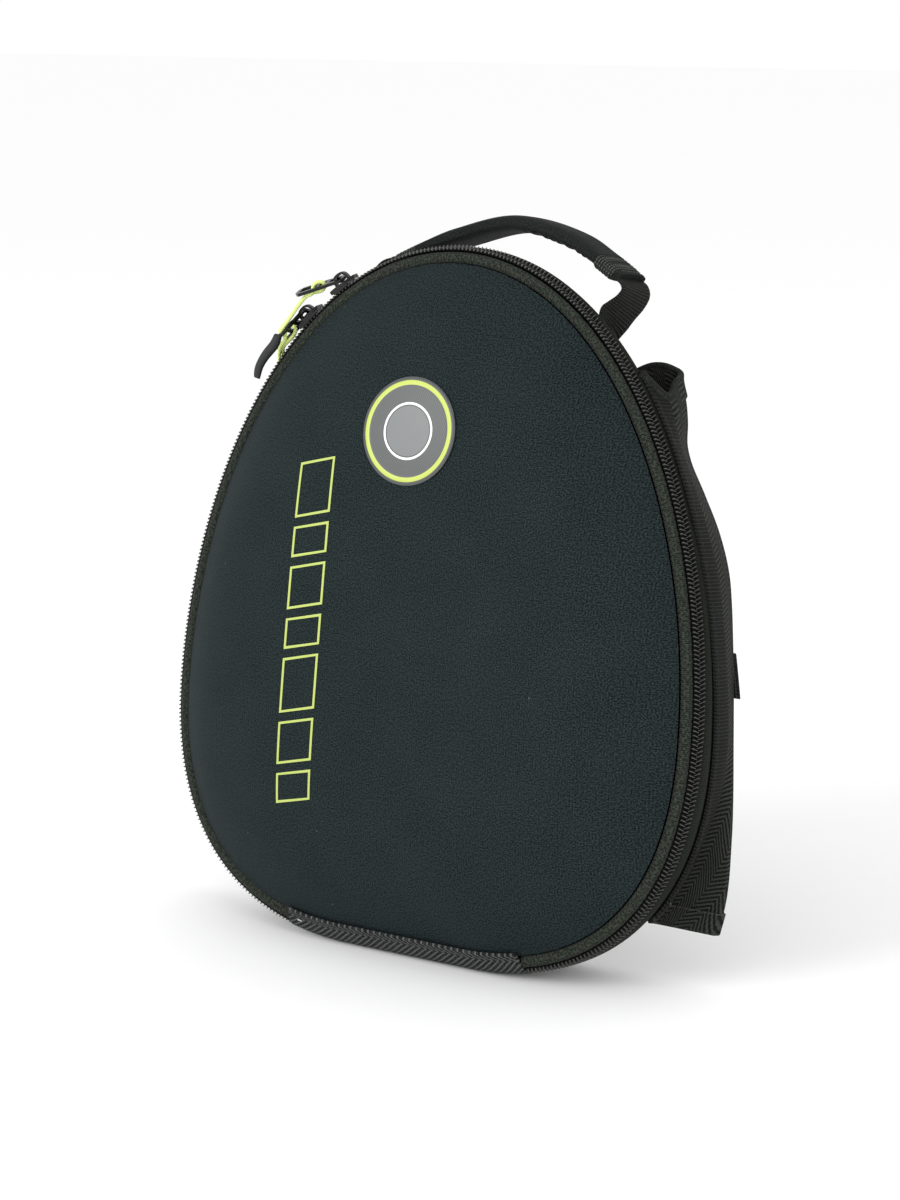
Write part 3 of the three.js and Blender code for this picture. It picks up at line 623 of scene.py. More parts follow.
def woven_look(name, dark, light, pattern, depth, nap, gap):
    """Woven cloth whose height follows a pattern of the weave's two directions, under a nap of loose fibres.
    What the pattern has below the gap value is a valley, and the colour follows the height, so the valleys
    are painted dark as shade."""
    look = Look(name, 0.08, sheen=0.01)
    cloth = look.cloth()
    along, across = look.split(cloth)
    height = look.above(pattern(look, along, across), gap, 0.8)
    fuzz = look.above(look.noise(cloth, 1.0, 2), 0.42, 0.58)
    worn = look.noise(cloth, 0.05, 2)
    # Tone follows the weave's height, painting shade into its valleys, plus random tone from the nap and the
    # worn noise
    shade = look.weighted(height, 0.9 - nap, fuzz, nap)
    shade = look.math("MULTIPLY_ADD", worn, 0.15, shade)
    look.colour(shade, dark, light)
    look.rough(fuzz, 0.65, 0.92)
    look.bump(look.math("MULTIPLY_ADD", fuzz, nap, height), depth)
    return look.material


def grosgrain(look, along, across):
    return look.weighted(look.ribs(along, 0.95), 0.7, look.ribs(across, 1.1), 0.3)


def herringbone(look, along, across):
    stripe = look.math("PINGPONG", look.math("SUBTRACT", across, 5.0), 12.0)
    slanted = look.math("MULTIPLY_ADD", stripe, -1.4, along)
    return look.weighted(look.ribs(slanted, 3.5), 0.85, look.ribs(across, 1.3), 0.15)


def rib_weave(look, along, across):
    return look.weighted(look.ribs(along, 1.55), 0.6, look.ribs(across, 1.6), 0.4)


def sleeve_weave(look, along, across):
    """Cross ribs on the side strips, and twill in stripes that slant either way past them."""
    # Ribs lowered by 0.2: the side strips painted darker, against the side lamp's light
    straight = look.math("SUBTRACT", look.ribs(along, 1.7), 0.2)
    beyond = look.math("SUBTRACT", across, SIDE_STRIP)
    stripe = look.math("PINGPONG", beyond, TWILL_STRIPE)
    lean = look.math("MULTIPLY_ADD", beyond, 0.82, along)
    slanted = look.ribs(look.math("MULTIPLY_ADD", stripe, -1.18, lean), 2.3)
    # Twill raised by 0.32: painted light on the back, against the shade where the sleeve tucks in
    twill = look.math("MULTIPLY_ADD", slanted, 0.85, 0.32)
    past = look.above(across, SIDE_STRIP - 0.4, SIDE_STRIP + 0.4)
    height = look.blend(past, straight, twill)
    return look.weighted(look.ribs(across, 1.3), 0.2, height, 0.8)


def grained_look(name, dark, light, rough, specular, scale, detail, depth, sheen=0.0, printed=False):
    """Cast, moulded, spun or printed surface, with one fine grain in its colour, gloss and height."""
    look = Look(name, specular, sheen)
    grain = look.noise(look.cloth() if printed else look.place(), scale, detail)
    look.colour(grain, dark, light)
    look.rough(grain, *rough)
    look.bump(grain, depth)
    return look.material


def thread_look(name, dark, light):
    return grained_look(name, dark, light, (0.55, 0.85), 0.3, 2500, 2, 0.1, sheen=0.2)


def cord_look():
    look = Look("pull_cord", 0.3, sheen=0.2)
    values = {"Vector": look.place(), "Scale": 420, "Distortion": 2.0}
    strands = look.add("TexWave", values, output="Fac", bands_direction="DIAGONAL")
    look.colour(strands, (0.62, 0.84, 0.14), (0.92, 1.0, 0.45))
    look.rough(strands, 0.5, 0.75)
    look.bump(strands, 0.2)
    return look.material


def badge_look():
    """Printed film: two rings on a finely lined grey ground."""
    look = Look("badge", 0.5)
    cloth = look.cloth()
    across, up = look.split(cloth)
    radius = look.math("SQRT", look.math(
        "MULTIPLY_ADD", across, across, look.math("MULTIPLY", up, up)))
    lines = look.ribs(look.math("MULTIPLY_ADD", up, 0.6, across), 1.1)
    ground = look.tint(lines, (0.035, 0.038, 0.038), (0.075, 0.08, 0.08))
    middle = look.math("LESS_THAN", radius, BADGE_MIDDLE)
    ground = look.tint(look.math("MULTIPLY", middle, 0.7), ground, (0.17, 0.18, 0.18))
    in_white = look.math("COMPARE", radius, WHITE_RING, WHITE_HALF)
    in_lime = look.math("COMPARE", radius, LIME_RING, LIME_HALF)
    ringed = look.tint(in_white, ground, (0.75, 0.78, 0.75))
    look.colour(in_lime, ringed, (0.42, 0.5, 0.07))
    look.rough(lines, 0.34, 0.5)
    look.bump(lines, 0.02)
    return look.material


# Pieces
def lid(look):
    """Domed lid with a rolled edge. Its rings crowd towards the edge, where it curves most."""
    reach = np.linspace(-1, 1, STATIONS, endpoint=False)
    x, z, out_x, out_z = edge_at(reach)

    def ring(share, inset, rise):
        return points_of(
            (x - out_x * inset) * share, -rise * (1 - share**LID_POWER),
            EGG_CENTRE + (z - out_z * inset - EGG_CENTRE) * share)

    shares = 1 - (1 - LID_SMALLEST) * np.linspace(0, 1, LID_RINGS) ** LID_CROWDING
    outside = [ring(share, 0, LID_RISE) for share in shares]
    roll = [beside_edge(reach, out, back) for out, back in LID_ROLL]
    inside = [ring(share, LID_WALL, LID_RISE - LID_WALL) for share in LID_INNER_SHARES]
    rings = np.array([*inside, *roll, *outside])
    return lofted("lid_cover", rings, look, rings[..., [0, 2]])


def rear(look):
    """Rear half, open to the front."""
    reach = np.linspace(-1, 1, STATIONS, endpoint=False)
    depths = [*np.linspace(WALL_BACK[0], WALL_BACK[-2], 16), *WALL_ROUNDING, WALL_BACK[-1]]
    outside = [wall_point(reach, back, 0) for back in depths]
    inside = []
    for back in depths[:-2]:
        ring = wall_point(reach, back, -REAR_WALL)
        ring[:, 1] = min(back, WALL_BACK[-1] - REAR_WALL)
        inside.append(ring)

    def panel(ring, share):
        return points_of(ring[:, 0] * share, ring[:, 1], EGG_CENTRE + (ring[:, 2] - EGG_CENTRE) * share)

    inner = [panel(inside[-1], share) for share in PANEL_SHARES[::-1]]
    outer = [panel(outside[-1], share) for share in PANEL_SHARES]
    rings = np.array([*inner, *inside[::-1], *outside, *outer])
    return lofted("rear_cover", rings, look, points_of(reach * EDGE_LENGTH, rings[..., 1]))


def zip_front_tape(look):
    """Tape between the lid and the coil, bulging forward and a little narrower along the top."""
    reach = np.linspace(-ZIP_REACH, ZIP_REACH, ZIP_ROWS)[:, None]
    part = np.linspace(0, 1, 8)
    bulge = FRONT_TAPE_BULGE * 4 * part * (1 - part)
    narrower = FRONT_TAPE_NARROWER * np.clip(edge_at(reach)[3], 0, 1)
    out = FRONT_TAPE_OUT + (FRONT_TAPE_WIDTH - narrower) * part + BULGE_OUT * bulge
    back = FRONT_TAPE_BACK + FRONT_TAPE_SLOPE * part - BULGE_FORWARD * bulge
    grid = beside_edge(reach, out, back)
    return band("front_tape", grid, TAPE_THICKNESS, look), grid


def coil_axes(reach):
    """Origin and axes of the coil at a reach: along it, across it to the back, and out of its face."""
    _, _, out_x, out_z = edge_at(reach)
    sine, cosine = math.sin(ZIP_FACING), math.cos(ZIP_FACING)
    across = points_of(out_x * cosine, sine, out_z * cosine)
    outward = points_of(out_x * sine, -cosine, out_z * sine)
    return beside_edge(reach, ZIP_OUT, ZIP_BACK), np.cross(across, outward), across, outward


def zip_teeth(look):
    """Two rows of slanted coil turns that meet in the middle, half a tooth apart."""
    count = int(2 * ZIP_REACH * EDGE_LENGTH / TOOTH_PITCH)
    shape, faces = small_bar(TURN_ALONG, TURN_GIRTH, TURN_LENGTH, TURN_WIDTH, TURN_HEIGHT, TURN_SLANT)
    shapes, origins, axes = [], [], []
    for side in (-1, 1):
        tooth = np.arange(count) + 0.5 + side / 4
        origin, along, across, outward = coil_axes((2 * tooth / count - 1) * ZIP_REACH)
        shapes.append(np.broadcast_to(shape * (1, -side, 1), (count, *shape.shape)))
        origins.append(origin + across * (side * COIL_ROW - COIL_FORWARD) + outward * COIL_LIFT)
        axes.append(np.stack([along, across, outward], axis=1))
    shapes, origins, axes = (np.concatenate(rows) for rows in (shapes, origins, axes))
    return copies("zip_teeth", shapes, faces, origins, axes, look)


def zip_bed(look):
    """Narrow woven strip under the coil, coloured near black as painted shade in the gaps between the coil's
    turns.
    """
    origin, _, across, outward = coil_axes(np.linspace(-ZIP_REACH, ZIP_REACH, BED_ROWS))
    width = np.linspace(BED_FRONT, BED_REAR, 5)[:, None]
    grid = origin[:, None] + across[:, None] * width + outward[:, None] * BED_LIFT
    return band("zip_bed", grid, BED_THICKNESS, look, -1)


def zip_rear_tape(look):
    """Tape on the rear shell, raised near the coil and running on under the sleeve's seam."""
    reach = np.linspace(-ZIP_REACH, ZIP_REACH, ZIP_ROWS)[:, None]
    part = np.linspace(0, 1, 9)
    under_sleeve = np.interp(edge_at(reach)[1], SEAM_HEIGHT, SEAM_BACK) + REAR_TAPE_LAP
    back = REAR_TAPE_FROM + (np.maximum(REAR_TAPE_TO, under_sleeve) - REAR_TAPE_FROM) * part
    crown = REAR_TAPE_CROWN * np.sin(math.pi * part**REAR_TAPE_SKEW) ** 2
    return band("rear_tape", wall_point(reach, back, REAR_TAPE_CLEAR + crown), TAPE_THICKNESS, look)


def hinge_reach(run):
    """Reach of a place along the bottom edge, from the left end to the right."""
    return np.where(run < 0, -1.0, 1.0) * (1 - np.abs(run) / EDGE_LENGTH)


def hinge(look):
    """Webbing folded round the bottom edge."""
    reach = hinge_reach(np.linspace(HINGE_HALF, -HINGE_HALF, 160))
    columns = [beside_edge(reach, out, back) for out, back in HINGE_NOSE]
    columns += [wall_point(reach, back, HINGE_CLEAR) for back in HINGE_UNDER]
    grid = through(columns, 44).transpose(1, 0, 2)
    return band("hinge_webbing", grid, HINGE_THICKNESS, look), grid


def sleeve_half(part):
    """Right half of the sleeve's inner face, as columns from the side seam to the back's middle. Part is
    the share of the way from the mouth to the hem."""
    def heights(mouth, hem):
        return mouth + (hem - mouth) * part

    def fold_x(height):
        return smooth_table(height, FOLD_HEIGHT, FOLD_X)

    def seam(height, clear=SLEEVE_CLEAR, forward=0.0):
        back = smooth_table(height, SEAM_HEIGHT, SEAM_BACK) - forward
        return wall_at_height(height, back, clear)

    def flat(height, inset, forward):
        return points_of(fold_x(height) - inset, SLEEVE_BACK - forward, height)

    def between(height, share):
        front, behind = seam(height), flat(height, FOLD_INSET, FOLD_FORWARD)
        back = front[:, 1] + (behind[:, 1] - front[:, 1]) * share
        wall_x = wall_at_height(height, back, SLEEVE_CLEAR)[:, 0]
        taut = front[:, 0] + (behind[:, 0] - front[:, 0]) * share + SIDE_BOW * 4 * share * (1 - share)
        tucked = smooth_step(-height, -TUCK_FROM, -TUCK_TO)
        return points_of(np.maximum(wall_x, taut + (wall_x - taut) * tucked), back, height)

    middle = heights(*MIDDLE_COLUMN)
    return [
        seam(heights(*ROLL_COLUMN), ROLL_CLEAR, ROLL_FORWARD),
        seam(heights(*SEAM_COLUMN)),
        *[between(heights(mouth, hem), share) for mouth, hem, share in SIDE_COLUMNS],
        flat(heights(*FOLD_COLUMN), FOLD_INSET, FOLD_FORWARD),
        *[flat(heights(mouth, hem), inset, forward) for mouth, hem, inset, forward in BACK_COLUMNS],
        points_of(fold_x(middle) * MIDDLE_SHARE, SLEEVE_BACK, middle),
    ]


def sleeve_face():
    """Inner face of the sleeve as a grid, each row's distance from the mouth and each point's from its
    seam. Rows lie close on both sides of the cuff's and the hem's edge."""
    step, beside = 0.5, 2.0
    hem_edge = SLEEVE_LENGTH - HEM
    down = np.concatenate([
        np.linspace(0, CUFF - step, 6), np.linspace(CUFF + step, hem_edge - step - beside, 104),
        [hem_edge - step, hem_edge + step], np.linspace(hem_edge + beside, SLEEVE_LENGTH, 6)])
    right = sleeve_half(down / SLEEVE_LENGTH)
    left = [column * (-1, 1, 1) for column in right]
    grid = through([*right, *left[::-1]], 201).transpose(1, 0, 2)
    run = np.cumsum(np.linalg.norm(np.diff(grid, axis=1, prepend=grid[:, :1]), axis=-1), axis=1)
    return grid, down, np.minimum(run, run[:, -1:] - run)


def sleeve(grid, down, from_seam, look):
    """Sleeve with a doubled strip along each side, a crease beside it, a cuff at the mouth and a hem. Its
    weave is straightened towards the middle of the back."""
    hem = (down > SLEEVE_LENGTH - HEM)[:, None]
    cuff = (down < CUFF)[:, None] * smooth_step(from_seam, SIDE_STRIP, SIDE_STRIP + 1)
    strip = STRIP_EXTRA * smooth_step(SIDE_STRIP - from_seam, -STRIP_EDGE, STRIP_EDGE)
    crease = CREASE_DEPTH * np.exp(-((from_seam - SIDE_STRIP) / CREASE_WIDTH) ** 2)
    thick = SLEEVE_THICKNESS + np.maximum(HEM_EXTRA * np.maximum(hem, cuff), strip - crease)
    to_middle = SLEEVE_MIDDLE - from_seam.max(axis=1, keepdims=True)
    across = from_seam + to_middle * smooth_step(from_seam, STRAIGHT_FROM, STRAIGHT_TO)
    webbing = band("sleeve_webbing", grid, thick, look, cloth=points_of(grid[..., 2], across))
    return webbing, grid + facing(grid) * thick[..., None]


def sleeve_rim(grid, from_seam, look):
    """Rolled edge round the sleeve's mouth, fatter along the side strips."""
    outward = facing(grid)[0]
    fat = 1 + RIM_FATTER * (1 - smooth_step(from_seam[0], SIDE_STRIP, 2 * SIDE_STRIP))
    line = resampled(np.concatenate([grid[0] + outward * RIM_OUT, outward, fat[:, None]], axis=1), 320)
    centre, outward, fat = line[:, None, :3], unit(line[:, None, 3:6]), line[:, None, 6:]
    along = unit(np.gradient(line[:, :3], axis=0))[:, None]
    upward = np.cross(along, outward)
    upward = upward * np.sign(upward[..., 2:])
    turn = full_turn(16)[:, None]
    rise = np.sin(turn) * RIM_HEIGHT * fat - RIM_DROP
    rings = centre + outward * np.cos(turn) * RIM_DEPTH * fat + upward * rise
    weave = points_of(run_along(line[:, :3])[:, None], turn[:, 0] * RIM_MEAN_RADIUS)
    return lofted("sleeve_rim", rings, look, weave)


def strap_tail(name, side, look):
    """End of a strap that comes out a little past the sleeve's edge."""
    height = np.linspace(TAIL_TOP, TAIL_BOTTOM, 12)
    past = np.linspace(TAIL_PAST_TOP, TAIL_PAST_BOTTOM, 12)
    outer = smooth_table(height, FOLD_HEIGHT, FOLD_X) + past
    part = np.linspace(0, 1, 24)[:, None]
    back = SLEEVE_BACK + SLEEVE_THICKNESS + TAIL_CLEAR
    grid = points_of(side * (TAIL_INNER + (outer - TAIL_INNER) * part), back, height)
    return band(name, grid, TAIL_THICKNESS, look, -side), grid


def handle_line():
    """Middle line of the handle's band, its directions, and distances along it and from its nearer end."""
    arch = through(HANDLE_ARCH, 480)
    tangent = unit(np.gradient(arch, axis=0))
    run = run_along(arch)
    return arch, tangent, run, np.minimum(run, run[-1] - run)


def handle_puckers(run, to_end, turn):
    """Small wrinkles along the lower front of the band's right half."""
    first, full = (share * run[-1] for share in PUCKER_SHARES)
    puckered = smooth_step(run, first, full) * smooth_step(to_end, PUCKER_FROM, PUCKER_TO)
    wander = PUCKER_WANDER * np.sin(run / WANDER_LENGTH)
    wrinkles = puckered * np.sin(2 * math.pi * run / PUCKER_PITCH + wander)
    low_front = np.clip(-np.sin(turn), 0, 1) * smooth_step(-np.cos(turn), *PUCKER_FRONT)
    return PUCKER_DEPTH * wrinkles[:, None] * low_front


def handle_pad(look, wrap_look):
    """Padded band. A ribbed wrap closes each end of the padding, and a flat flap runs on past it."""
    arch, tangent, run, to_end = handle_line()
    padded = smooth_step(to_end, PADDING_FROM, PADDING_TO)
    wrapped = padded * (1 - smooth_step(to_end, WRAP_FROM, WRAP_TO))
    swell = HANDLE_SWELL * (smooth_step(to_end, SWELL_FROM, SWELL_TO) - 1)
    ribs = WRAP_RIB * wrapped * np.sin(2 * math.pi * run / WRAP_RIB_PITCH)
    full = HANDLE_THICK / 2 + swell + ribs
    lip = FLAP_LIP * np.exp(-((to_end - FLAP_LIP_AT) ** 2))
    rise = FLAP_RISE + lip + (full - FLAP_RISE) * padded
    drop = FLAP_DROP + (full + WRAP_BULGE * wrapped - FLAP_DROP) * padded
    turn = full_turn(56)
    wide, high = (np.sign(wave) * np.abs(wave) ** HANDLE_ROUNDING for wave in (np.cos(turn), np.sin(turn)))
    lift = np.where(high > 0, rise[:, None], drop[:, None]) * high - handle_puckers(run, to_end, turn)
    half_width = HANDLE_WIDTH / 2 - FLAP_NARROWER * (1 - padded) - WRAP_NARROWER * wrapped
    rings = points_of(
        arch[:, :1] - tangent[:, 1:] * lift, HANDLE_BACK + half_width[:, None] * wide,
        arch[:, 1:] + tangent[:, :1] * lift)
    around = np.cumsum(np.hypot(np.gradient(wide) * HANDLE_WIDTH, np.gradient(high) * HANDLE_THICK) / 2)
    pad = lofted("handle_pad", rings, look, points_of(run[:, None], around))
    pad.data.materials.append(wrap_look)
    side_faces = np.repeat(wrapped[:-1] > 0.5, len(turn))
    in_wrap = np.zeros(len(pad.data.polygons), np.int32)
    in_wrap[:len(side_faces)] = side_faces
    pad.data.polygons.foreach_set("material_index", in_wrap)
    return pad


def flap_rows():
    """Lines across the flaps at the handle's two ends, with their normals."""
    arch, tangent, run, _ = handle_line()
    across = points_of(0, np.linspace(-FLAP_SEAM_HALF, FLAP_SEAM_HALF, 12), 0)
    place = round(FLAP_SEAM_PLACE / run[1])
    rows = []
    for index in (place, -1 - place):
        up = np.array([-tangent[index, 1], 0, tangent[index, 0]])
        middle = np.array([arch[index, 0], HANDLE_BACK, arch[index, 1]]) + up * FLAP_SEAM_LIFT
        rows.append((middle + across, up))
    return rows


def handle_leg(name, path, foot_x, look):
    """Webbing from under the handle's flap, where it lies level, down to its foot on the rear shell."""
    across = np.linspace(-0.5, 0.5, 16)
    share = across + 0.5
    path = np.array(path, float)
    front, behind = (through(path[:, [0, edge]], LEG_ROWS + 1)[:-1] for edge in (1, 2))
    part = np.linspace(-LEG_LEVEL_SHARE, 1, LEG_ROWS + 1).clip(0)[:-1, None]
    middle = HANDLE_BACK + (LEG_FOOT_BACK - HANDLE_BACK) * part
    rows = points_of(
        front[:, :1] + (behind[:, :1] - front[:, :1]) * share,
        middle + across * LEG_WIDTH,
        front[:, 1:] + (behind[:, 1:] - front[:, 1:]) * share)
    foot_line = abs(foot_x) - LEG_FOOT_SLANT * share
    foot = wall_at_x(foot_line, LEG_FOOT_BACK + across * LEG_WIDTH, LEG_CLEAR) * (np.sign(foot_x), 1, 1)
    grid = through([*rows, foot], 60)
    return band(name, grid, LEG_THICKNESS, look, -1), grid


def pull_cord(name, pull, look):
    """Cord through the tab's two slots, with both ends in the grip."""
    reach = -reach_where(
        lambda part: beside_edge(part, ZIP_OUT, ZIP_BACK)[..., 2] > pull["height"], (), 0.6)
    origin, along, across, outward = coil_axes(reach)
    swing, twist = math.radians(pull["swing"]), math.radians(pull["twist"])
    swung = np.array([
        [math.cos(swing), 0, math.sin(swing)], [0, 1, 0], [-math.sin(swing), 0, math.cos(swing)]])
    twisted = np.array([
        [1, 0, 0], [0, math.cos(twist), -math.sin(twist)], [0, math.sin(twist), math.cos(twist)]])
    axes = np.stack([along, across, outward], axis=1)
    in_tab = np.array(CORD_IN_TAB) @ (axes @ swung @ twisted).T + origin + outward * TAB_HEIGHT
    high, low = (np.array(point, float) for point in pull["hang"])
    apart = np.array(pull["apart"])
    route = through([low + apart, high + apart, *in_tab, high - apart, low - apart], CORD_POINTS)
    data = bpy.data.curves.new(name, "CURVE")
    data.dimensions = "3D"
    data.bevel_depth = CORD_DIAMETER / 2 * METRE
    data.bevel_resolution = 3
    data.use_fill_caps = True
    spline = data.splines.new("POLY")
    spline.points.add(len(route) - 1)
    line = placed(route)
    spline.points.foreach_set("co", np.c_[line, np.ones(len(line))].ravel())
    data.materials.append(look)
    cord = add_object(name, data)
    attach(cord, "root")
    return cord, line


def badge(look):
    """Round patch with a rim and one raised ring."""
    turn = full_turn(96)

    def ring(radius, lift):
        return on_lid(radius * np.cos(turn), BADGE_HEIGHT + radius * np.sin(turn), lift)

    def face(radius):
        return BADGE_FACE + (BADGE_RAISED if abs(radius - LIME_RING) < RAISED_HALF else 0.0)

    radii = np.linspace(BADGE_RADIUS - BADGE_FACE_INSET, BADGE_SMALLEST, 34)
    under_radii = (BADGE_SMALLEST, 10, 20, BADGE_RADIUS - BADGE_UNDER_INSET)
    under = [ring(radius, BADGE_UNDER) for radius in under_radii]
    top = [ring(radius, face(radius)) for radius in radii]
    rings = np.array([*under, ring(BADGE_RADIUS, BADGE_RIM_LIFT), *top])
    return lofted("badge_patch", rings, look, rings[..., [0, 2]] - (0, BADGE_HEIGHT))


def print_bars(look):
    """Column of slanted bars in outline, printed on the lid."""
    steps = np.linspace(0, 1, 10, endpoint=False)[:, None]
    places, lifts, faces = [], [], []
    top = BARS_TOP
    for length in BAR_LENGTHS:
        left, right, bottom = BARS_X - BAR_HALF, BARS_X + BAR_HALF, top - length
        outer = np.array([
            (left, top - BAR_SLANT), (right, top), (right, bottom), (left, bottom - BAR_SLANT)])
        centre = outer.mean(axis=0)
        inner = centre + (outer - centre) * (1 - BAR_LINE / np.array([BAR_HALF, length / 2]))
        outside, inside = (
            (corners[:, None] + (np.roll(corners, -1, axis=0) - corners)[:, None] * steps).reshape(-1, 2)
            for corners in (outer, inner))
        count = len(outside)
        faces += (ring_faces(4, count, joined=True) + len(lifts) * count).tolist()
        places += [outside, outside, inside, inside]
        lifts += [BAR_UNDER, BAR_FACE, BAR_FACE, BAR_UNDER]
        top = bottom - BAR_GAP
    vertices = [on_lid(place[:, 0], place[:, 1], lift) for place, lift in zip(places, lifts)]
    return make_piece("print_bars", np.concatenate(vertices), faces, look, np.concatenate(places), 30)


def set_look(node, look):
    node.data.materials.clear()
    node.data.materials.append(look)
    node.data.shade_smooth()


def finish_metal(node, look):
    """Rounds the edges of a cast piece that stays as the frame has it."""
    set_look(node, look)
    bevel = node.modifiers.new("round_edges", "BEVEL")
    bevel.width = METAL_ROUNDING * METRE
    bevel.segments = 2
    bevel.limit_method = "ANGLE"


def finish_rubber(node, look):
    """Smooths a moulded piece that stays as the frame has it."""
    set_look(node, look)
    weld = node.modifiers.new("weld", "WELD")
    weld.merge_threshold = RUBBER_WELD * METRE
    smooth = node.modifiers.new("smooth", "SUBSURF")
    smooth.levels = smooth.render_levels = 2


def row_at(face, from_seam, distance):
    """Line down the sleeve's right half at a distance from its seam."""
    half = from_seam.shape[1] // 2
    return np.array([
        [np.interp(distance, run, row[:, axis]) for axis in range(3)]
        for run, row in zip(from_seam[:, :half], face[:, :half])])


def stands_for(piece, slot, *replaced):
    if replaced:
        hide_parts(*replaced)
    return piece


# Woven cloths: dark and light colour, pattern, depth in mm, share of the nap, and level of the valleys, whose
# dark colour is painted shade
WEAVES = {
    "tape": ((0.002, 0.0026, 0.0018), (0.045, 0.055, 0.0425), grosgrain, 0.25, 0.6, 0.2),
    "rear": ((0.003, 0.0035, 0.0028), (0.0195, 0.023, 0.0175), grosgrain, 0.2, 0.45, 0.2),
    # Bed: near black, painted shade where the bed shows between the coil's turns
    "bed": ((0.0006, 0.0006, 0.0006), (0.004, 0.004, 0.0037), grosgrain, 0.2, 0.2, 0.2),
    "rim": ((0.002, 0.0024, 0.002), (0.034, 0.038, 0.033), grosgrain, 0.25, 0.5, 0.2),
    "hinge": ((0.0005, 0.0005, 0.0005), (0.112, 0.1165, 0.1165), herringbone, 1.0, 0.2, 0.52),
    "sleeve": ((0.0002, 0.0002, 0.0002), (0.041, 0.0445, 0.0388), sleeve_weave, 0.9, 0.2, 0.42),
    "leg": ((0.0002, 0.0002, 0.0002), (0.033, 0.036, 0.0312), rib_weave, 0.8, 0.2, 0.3),
    # Tail: the legs' rib weave made lighter, painted light on the strap ends, which face away from the lamps
    "tail": ((0.001, 0.0011, 0.001), (0.062, 0.066, 0.06), rib_weave, 0.6, 0.2, 0.3),
    "wrap": ((0.001, 0.0012, 0.001), (0.095, 0.104, 0.095), rib_weave, 0.8, 0.2, 0.4),
}
woven = {name: woven_look(f"{name}_weave", *values) for name, values in WEAVES.items()}

# Knits, threads, metal, rubber, coil and ink
shell_cloth = knit_look("shell_knit", (0.0008, 0.0018, 0.0019), (0.0256, 0.0384, 0.04))
handle_cloth = knit_look("handle_knit", (0.003, 0.004, 0.0036), (0.024, 0.028, 0.0255))
dark_thread = thread_look("dark_thread", (0.002, 0.002, 0.002), (0.012, 0.012, 0.011))
grey_thread = thread_look("grey_thread", (0.02, 0.021, 0.02), (0.05, 0.052, 0.05))
pale_thread = thread_look("pale_thread", (0.22, 0.23, 0.22), (0.5, 0.52, 0.5))
metal = grained_look(
    "slider_metal", (0.003, 0.003, 0.0033), (0.01, 0.01, 0.0105), (0.14, 0.34), 0.22, 600, 3, 0.03)
rubber = grained_look(
    "pull_rubber", (0.008, 0.009, 0.0085), (0.022, 0.0245, 0.023), (0.5, 0.8), 0.35, 1500, 3, 0.12)
coil = grained_look(
    "zip_coil", (0.012, 0.0125, 0.011), (0.055, 0.0575, 0.051), (0.2, 0.42), 0.7, 900, 2, 0.05)
ink = grained_look(
    "print", (0.3, 0.37, 0.07), (0.5, 0.58, 0.15), (0.4, 0.65), 0.4, 1.6, 2, 0.05, printed=True)


# Groups of pieces
def dress_pulls():
    lime = cord_look()
    for name, pull in PULLS.items():
        grip = nodes[f"pull_grip_{name}"]
        cord, line = pull_cord(f"cord_{name}", pull, lime)
        stands_for(cord, "pull_cord", f"pull_cord_{name}")
        finish_metal(nodes[f"slider_{name}"], metal)
        finish_metal(nodes[f"pull_tab_{name}"], metal)
        finish_rubber(grip, rubber)


def dress_shells():
    stands_for(lid(shell_cloth), "shell", "front_shell")
    stands_for(rear(woven["rear"]), "shell", "rear_shell")


def dress_zip():
    tape, grid = zip_front_tape(woven["tape"])
    stands_for(tape, "zip_tape", "zip_tape_front")
    outward = facing(grid)
    face = grid + outward * (TAPE_THICKNESS + STITCH_LIFT)
    for name, column in (("front_tape_seam", 6), ("front_tape_edge_seam", 0)):
        seam = sewn(name, face[:, column], outward[:, column], dark_thread, TAPE_STITCH)
        stands_for(seam, "zip_tape")
    stands_for(zip_rear_tape(woven["rear"]), "zip_tape", "zip_tape_rear")
    stands_for(zip_teeth(coil), "zip_coil", "zip_chain")
    stands_for(zip_bed(woven["bed"]), "zip_tape")


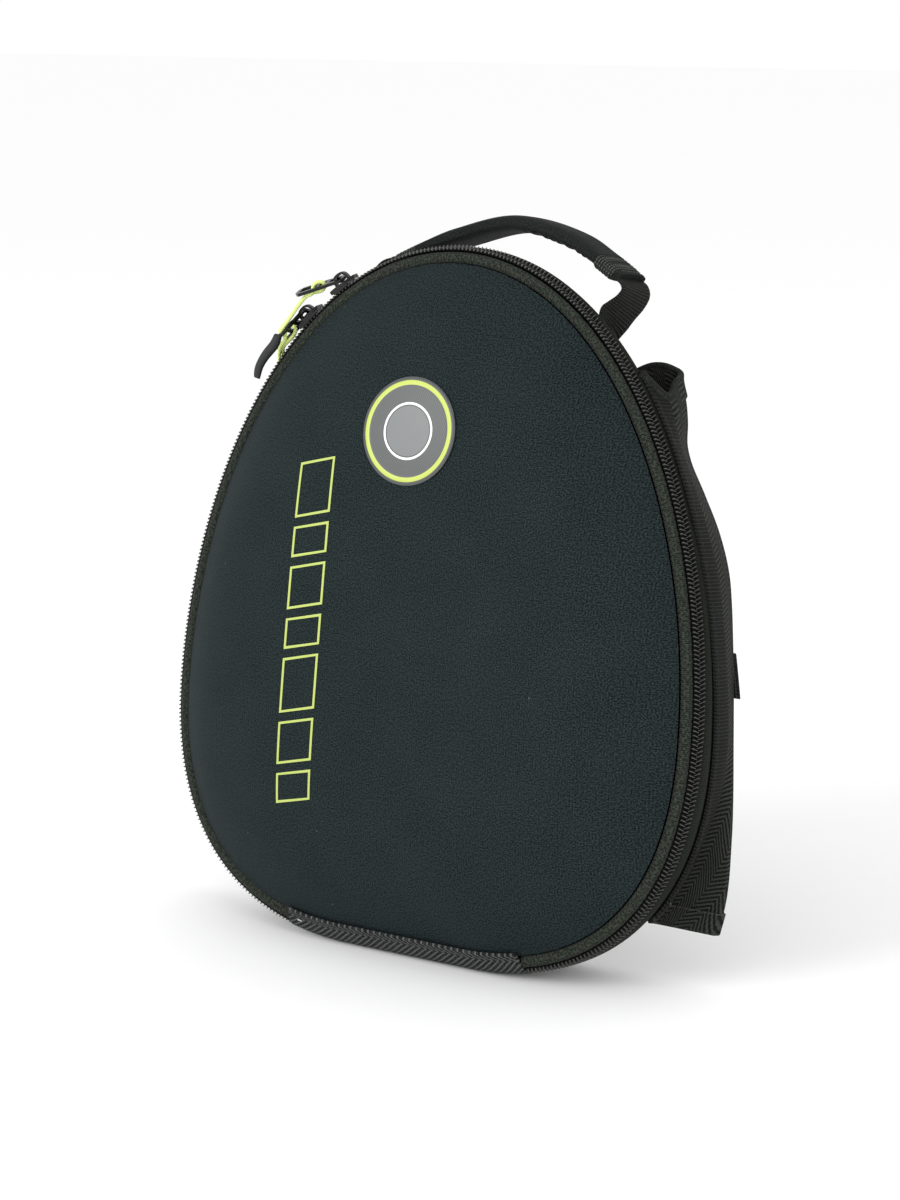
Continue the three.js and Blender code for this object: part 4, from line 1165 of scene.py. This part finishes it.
def dress_hinge():
    webbing, grid = hinge(woven["hinge"])
    stands_for(webbing, "webbing", "hinge_tape")
    outward = facing(grid)
    face = grid + outward * (HINGE_THICKNESS + STITCH_LIFT)
    seam = sewn("hinge_edge_seam", face[:, 2], outward[:, 2], grey_thread, HINGE_STITCH)
    stands_for(seam, "webbing")
    left_end = slice(-14, -3)
    tack = sewn("hinge_tack", face[left_end, 4], outward[left_end, 4], pale_thread, TACK_STITCH)
    stands_for(tack, "webbing")


def dress_sleeve():
    grid, down, from_seam = sleeve_face()
    webbing, face = sleeve(grid, down, from_seam, woven["sleeve"])
    stands_for(webbing, "webbing", "back_sleeve")
    rim = stands_for(sleeve_rim(grid, from_seam, woven["rim"]), "webbing")
    outward = facing(grid)
    hem_row = int(np.searchsorted(down, SLEEVE_LENGTH - HEM))
    stands_for(sewn("hem_seam", face[hem_row], outward[hem_row], grey_thread, HEM_STITCH), "webbing")
    path, normals = (row_at(rows, from_seam, SIDE_SEAM_INSET)[4:-2] for rows in (face, outward))
    for name, mirror in (("side_seam_right", (1, 1, 1)), ("side_seam_left", (-1, 1, 1))):
        seam = sewn(name, path * mirror, normals * mirror, dark_thread, SIDE_STITCH)
        stands_for(seam, "webbing")


def dress_straps():
    for name, side in (("right", 1), ("left", -1)):
        tail, grid = strap_tail(f"strap_tail_web_{name}", side, woven["tail"])
        stands_for(tail, "webbing", f"strap_tail_{name}")


def dress_handle():
    pad = stands_for(handle_pad(handle_cloth, woven["wrap"]), "handle_cover", "handle_grip")
    for number, (row, up) in enumerate(flap_rows(), 1):
        stands_for(sewn(f"flap_seam_{number}", row, up, grey_thread, FLAP_STITCH), "handle_cover")
    for name, path, foot in (("right", RIGHT_LEG, RIGHT_FOOT), ("left", LEFT_LEG, LEFT_FOOT)):
        leg, grid = handle_leg(f"leg_web_{name}", path, foot, woven["leg"])
        stands_for(leg, "webbing", f"handle_leg_{name}")


def dress_front():
    stands_for(badge(badge_look()), "badge", "badge")
    stands_for(print_bars(ink), "badge")


make_camera()
make_stage()
dress_pulls()
dress_shells()
dress_zip()
dress_hinge()
dress_sleeve()
dress_straps()
dress_handle()
dress_front()
